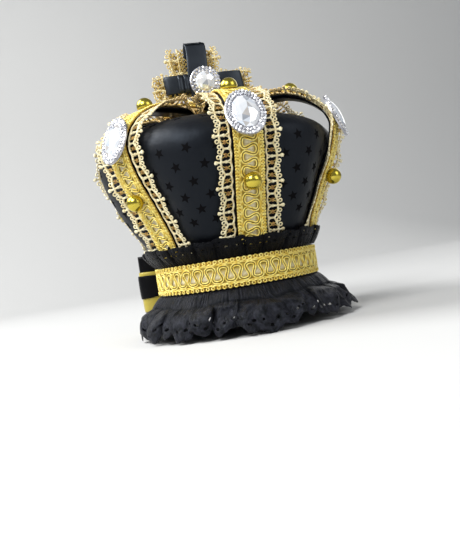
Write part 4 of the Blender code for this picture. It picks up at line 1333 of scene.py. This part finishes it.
def kept_from_bow(radius, around, free=0.0):
    """A radius that stays in front of the bow's flat back, or goes further by what is free."""
    behind = -np.cos(around)
    limit = np.where(behind > 0.2, BOW_FACE / np.maximum(behind, 0.2) + free, 1.0)
    return np.minimum(radius, limit)


SEAM_WELD = 0.00002
BOW_FACE = 0.0612
BOW_FOOT = 0.0087
PICOT = 0.0022
RUFFLE_CLOTH = 0.66
RUFFLE_CUT = 0.037
RUFFLE_SCALLOP = 0.0088
RUFFLE_DEEP = 0.0046
RUFFLE_PICOT = 0.0004
RUFFLE_WALL = 0.0005
RUFFLE_SWELL = 0.0122
RUFFLE_GATHER = 0.0007
RUFFLE_INSET = 0.0070
RUFFLE_OFF_RING = 0.0010
RUFFLE_HEM_ROOM = 0.0055
TUCK_LINE = 0.27
TUCK_DEEP = 0.0016
TUCK_PUFF = 0.0030
LIMP = 0.0013
RUFFLE_EYELETS = [
    # from and to off the scallop's point, from and to above its edge
    (0.0, 0.0008, 0.0056, 0.0080),
    (0.0020, 0.0034, 0.0092, 0.0104),
]
RUFFLE_FOLDS = [
    # start in degrees from the front, swell, height of its point and of its start above the floor
    (-96, 1.00, 0.001, 0.010), (-84, 0.95, 0.002, 0.009), (-72, 1.10, 0.001, 0.012),
    (-61, 0.90, 0.002, 0.013), (-51, 1.10, 0.000, 0.014), (-40, 0.90, 0.003, 0.012),
    (-29, 0.70, 0.001, 0.015), (-16, 0.95, 0.000, 0.018), (18, 0.55, 0.004, 0.014),
    (29, 1.00, 0.002, 0.014), (46, 1.05, 0.002, 0.012), (60, 1.15, 0.003, 0.011),
    (75, 1.00, 0.001, 0.012), (90, 0.95, 0.001, 0.007), (105, 1.05, 0.002, 0.008),
    (118, 0.90, 0.000, 0.007), (134, 1.05, 0.002, 0.008), (147, 0.95, 0.001, 0.006),
    (163, 1.00, 0.000, 0.008), (176, 1.10, 0.002, 0.007), (192, 0.90, 0.001, 0.008),
    (204, 1.00, 0.000, 0.007), (220, 1.05, 0.002, 0.008), (234, 0.95, 0.001, 0.007),
    (249, 1.00, 0.002, 0.008),
]
ruffle_low, ruffle_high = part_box("lower_ruffle")
ring_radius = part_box("base_ring")[1].x
hem_radius = (ruffle_high.x - ruffle_low.x) / 2


def ruffle_gathers(turn, down):
    """The fine gathers below the band, from -1 to 1."""
    gathers = np.sin(turn * 133 + 5 * np.sin(turn * 9) + 3 * np.sin(turn * 31))
    return gathers * (1 + 0.7 * np.sin(turn * 17 + 4 * down)) / 1.7


def ruffle_tuck(turn):
    """Where the stitched tuck is, as a share of the drop."""
    return TUCK_LINE + 0.030 * np.sin(turn * 7 + 1) + 0.018 * np.sin(turn * 19)


def ruffle_painted_light(flat):
    """Painted light on the ruffle: light on the crests of its folds, painted shade in the folds,
    between the gathers and along the tuck.
    """
    down = flat[:, 1] / RUFFLE_CUT
    turn = turn_at(flat, RUFFLE_CLOTH)
    share = folds_at(turn, RUFFLE_FOLDS)[0]
    grown = np.clip((down - 0.15) / 0.25, 0, 1)
    seam = np.exp(-((down - ruffle_tuck(turn)) / 0.022) ** 2)
    gathers = (1 - grown) * (0.72 + 0.45 * ruffle_gathers(turn, down))
    return (gathers + grown * np.sin(math.pi * share) ** 0.9) * (1 - 0.7 * seam)


def lay_ruffle(flat):
    down = hemmed(flat, RUFFLE_CUT, RUFFLE_SCALLOP, RUFFLE_DEEP, RUFFLE_PICOT)
    turn = turn_at(flat, RUFFLE_CLOTH)
    share, width, swell, point, ends = folds_at(turn, RUFFLE_FOLDS)
    grown = np.clip((down - 0.20) / 0.36, 0, 1)
    grown = grown * grown * (3 - 2 * grown)
    crest = np.sin(math.pi * share ** 0.85)
    flare = hem_radius - RUFFLE_HEM_ROOM - ring_radius
    reach = ring_radius + RUFFLE_OFF_RING + flare * (1 - (1 - down) ** 1.9)
    gathers = ruffle_gathers(turn, down) * RUFFLE_GATHER
    gathers *= np.clip((0.62 - down) / 0.45, 0, 1) * np.clip(down / 0.06, 0, 1)
    radius = reach + gathers + grown * (RUFFLE_SWELL * swell * crest ** 0.8 - RUFFLE_INSET)
    tuck = ruffle_tuck(turn)
    tucked = 0.6 + 0.4 * np.sin(turn * 5 + 2.5)
    radius += TUCK_PUFF * tucked * np.exp(-((down - tuck - 0.10) / 0.07) ** 2) * crest ** 0.5
    radius -= TUCK_DEEP * tucked * np.exp(-((down - tuck) / 0.025) ** 2)
    limp = np.sin(turn * 23 + down * 5) + 0.7 * np.sin(turn * 57 + 3 * np.sin(turn * 13) - down * 4)
    radius += LIMP * grown * limp
    turned_in = np.clip((down - 0.62) / 0.38, 0, 1) ** 2
    radius += turned_in * (0.0006 * crest - 0.0022 * (1 - np.sin(turn)))
    around = turn - 0.25 * np.sin(2 * math.pi * share) * width * grown
    around += 0.020 * grown * down * np.sin(turn * 5.0 + 1.0)
    low = point + (ends - point) * (1 - crest ** 1.5)
    height = ruffle_high.z * (1 - down) + low * grown * down + 0.0008 * grown * limp * down
    height = np.maximum(height, 0.0002)
    radius = kept_from_bow(radius, around, np.maximum(0.0, BOW_FOOT - height) * 1.2)
    return polar(radius, around, height)


ruffle = gathered("lace_ruffle", RUFFLE_CLOTH, RUFFLE_CUT, RUFFLE_SCALLOP, RUFFLE_EYELETS, 840, 34,
                  RUFFLE_WALL, lay_ruffle, ruffle_painted_light)
ruffle_lace = lace_cloth("ruffle_lace", (0.0008, 0.0008, 0.0011), (0.0200, 0.0203, 0.0276), 0.21)
ruffle_piece = add_piece("lace_ruffle", ruffle, [ruffle_lace], ["lower_ruffle"])

FRILL_CLOTH = 0.50
FRILL_CUT = 0.0145
FRILL_SCALLOP = 0.0100
FRILL_DEEP = 0.0013
FRILL_PICOT = 0.0002
FRILL_WALL = 0.0004
FRILL_SWELL = 0.0042
FRILL_INSET = 0.0012
FRILL_OFF_RING = 0.0014
FRILL_FLARE = 0.0052
FRILL_GATHER = 0.00022
FRILL_EYELETS = [(0.0016, 0.0032, 0.0060, 0.0075), (0.0, 0.0006, 0.0032, 0.0044)]
FRILL_STARTS = (-180, -166, -150, -139, -123, -110, -94, -84, -66, -55, -37, -24, -6, 5, 21,
                33, 52, 62, 78, 92, 104, 121, 134, 147, 165)
FRILL_FOLDS = [(start, 0.7 + 0.3 * math.sin(start * 1.7), 0.0008 * math.sin(start * 2.3),
                0.0010 * math.sin(start)) for start in FRILL_STARTS]
frill_low, frill_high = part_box("upper_frill")


def lay_frill(flat):
    up = hemmed(flat, FRILL_CUT, FRILL_SCALLOP, FRILL_DEEP, FRILL_PICOT)
    turn = turn_at(flat, FRILL_CLOTH)
    share, width, swell, point, ends = folds_at(turn, FRILL_FOLDS)
    grown = np.clip(up * 1.3, 0, 1)
    crest = np.sin(math.pi * share)
    gathers = np.sin(turn * 121 + 3 * np.sin(turn * 7)) * FRILL_GATHER * (1 - up)
    reach = ring_radius + FRILL_OFF_RING + FRILL_FLARE * (1 - (1 - up) ** 1.7)
    radius = reach + gathers + grown * (FRILL_SWELL * swell * crest ** 0.8 - FRILL_INSET)
    around = turn - 0.20 * np.sin(2 * math.pi * share) * width * grown
    height = frill_low.z + (frill_high.z - frill_low.z) * up
    height += grown * (point * crest + ends * (1 - crest))
    return polar(kept_from_bow(radius, around), around, height)


def frill_painted_light(flat):
    """Painted shade in the frill's folds, half as deep as the ruffle's."""
    return 0.5 + 0.5 * np.sin(math.pi * folds_at(turn_at(flat, FRILL_CLOTH), FRILL_FOLDS)[0])


frill = gathered("lace_frill", FRILL_CLOTH, FRILL_CUT, FRILL_SCALLOP, FRILL_EYELETS, 640, 14,
                 FRILL_WALL, lay_frill, frill_painted_light)
# The frill's lace is darker than the ruffle's, as painted shade where it stands between the band and
# the cap.
frill_shaded_lace = lace_cloth("frill_shaded_lace", (0.0012, 0.0012, 0.0015), (0.0050, 0.0050, 0.0062), 0.09)
frill_piece = add_piece("lace_frill", frill, [frill_shaded_lace], ["upper_frill"])

# Bow
# A wide black satin ribbon, a gold one and a narrow black one on it, looped to both sides behind
# the band and held by a plain knot.
# The bow's black satin is darker than the ring's, as painted shade for the bow behind the band.
bow_shaded_satin = satin("bow_shaded_satin", (0.0014, 0.0014, 0.0018), (0.0035, 0.0037, 0.0050), 0.34, 0.0005,
                  Specular_IOR_Level=0.09)
gold_satin = satin("gold_satin", (0.34, 0.27, 0.03), (0.52, 0.42, 0.06), 0.34, Sheen_Weight=0.1)
for name, look, slot in (("bow_wide_ribbon", bow_shaded_satin, "black_satin"),
                         ("bow_gold_ribbon", gold_satin, "gold_satin"),
                         ("bow_narrow_ribbon", bow_shaded_satin, "black_satin"),
                         ("bow_knot", bow_shaded_satin, "black_satin")):
    add_piece(name + "_satin", subdivided(name, name + "_satin"), [look], [name])
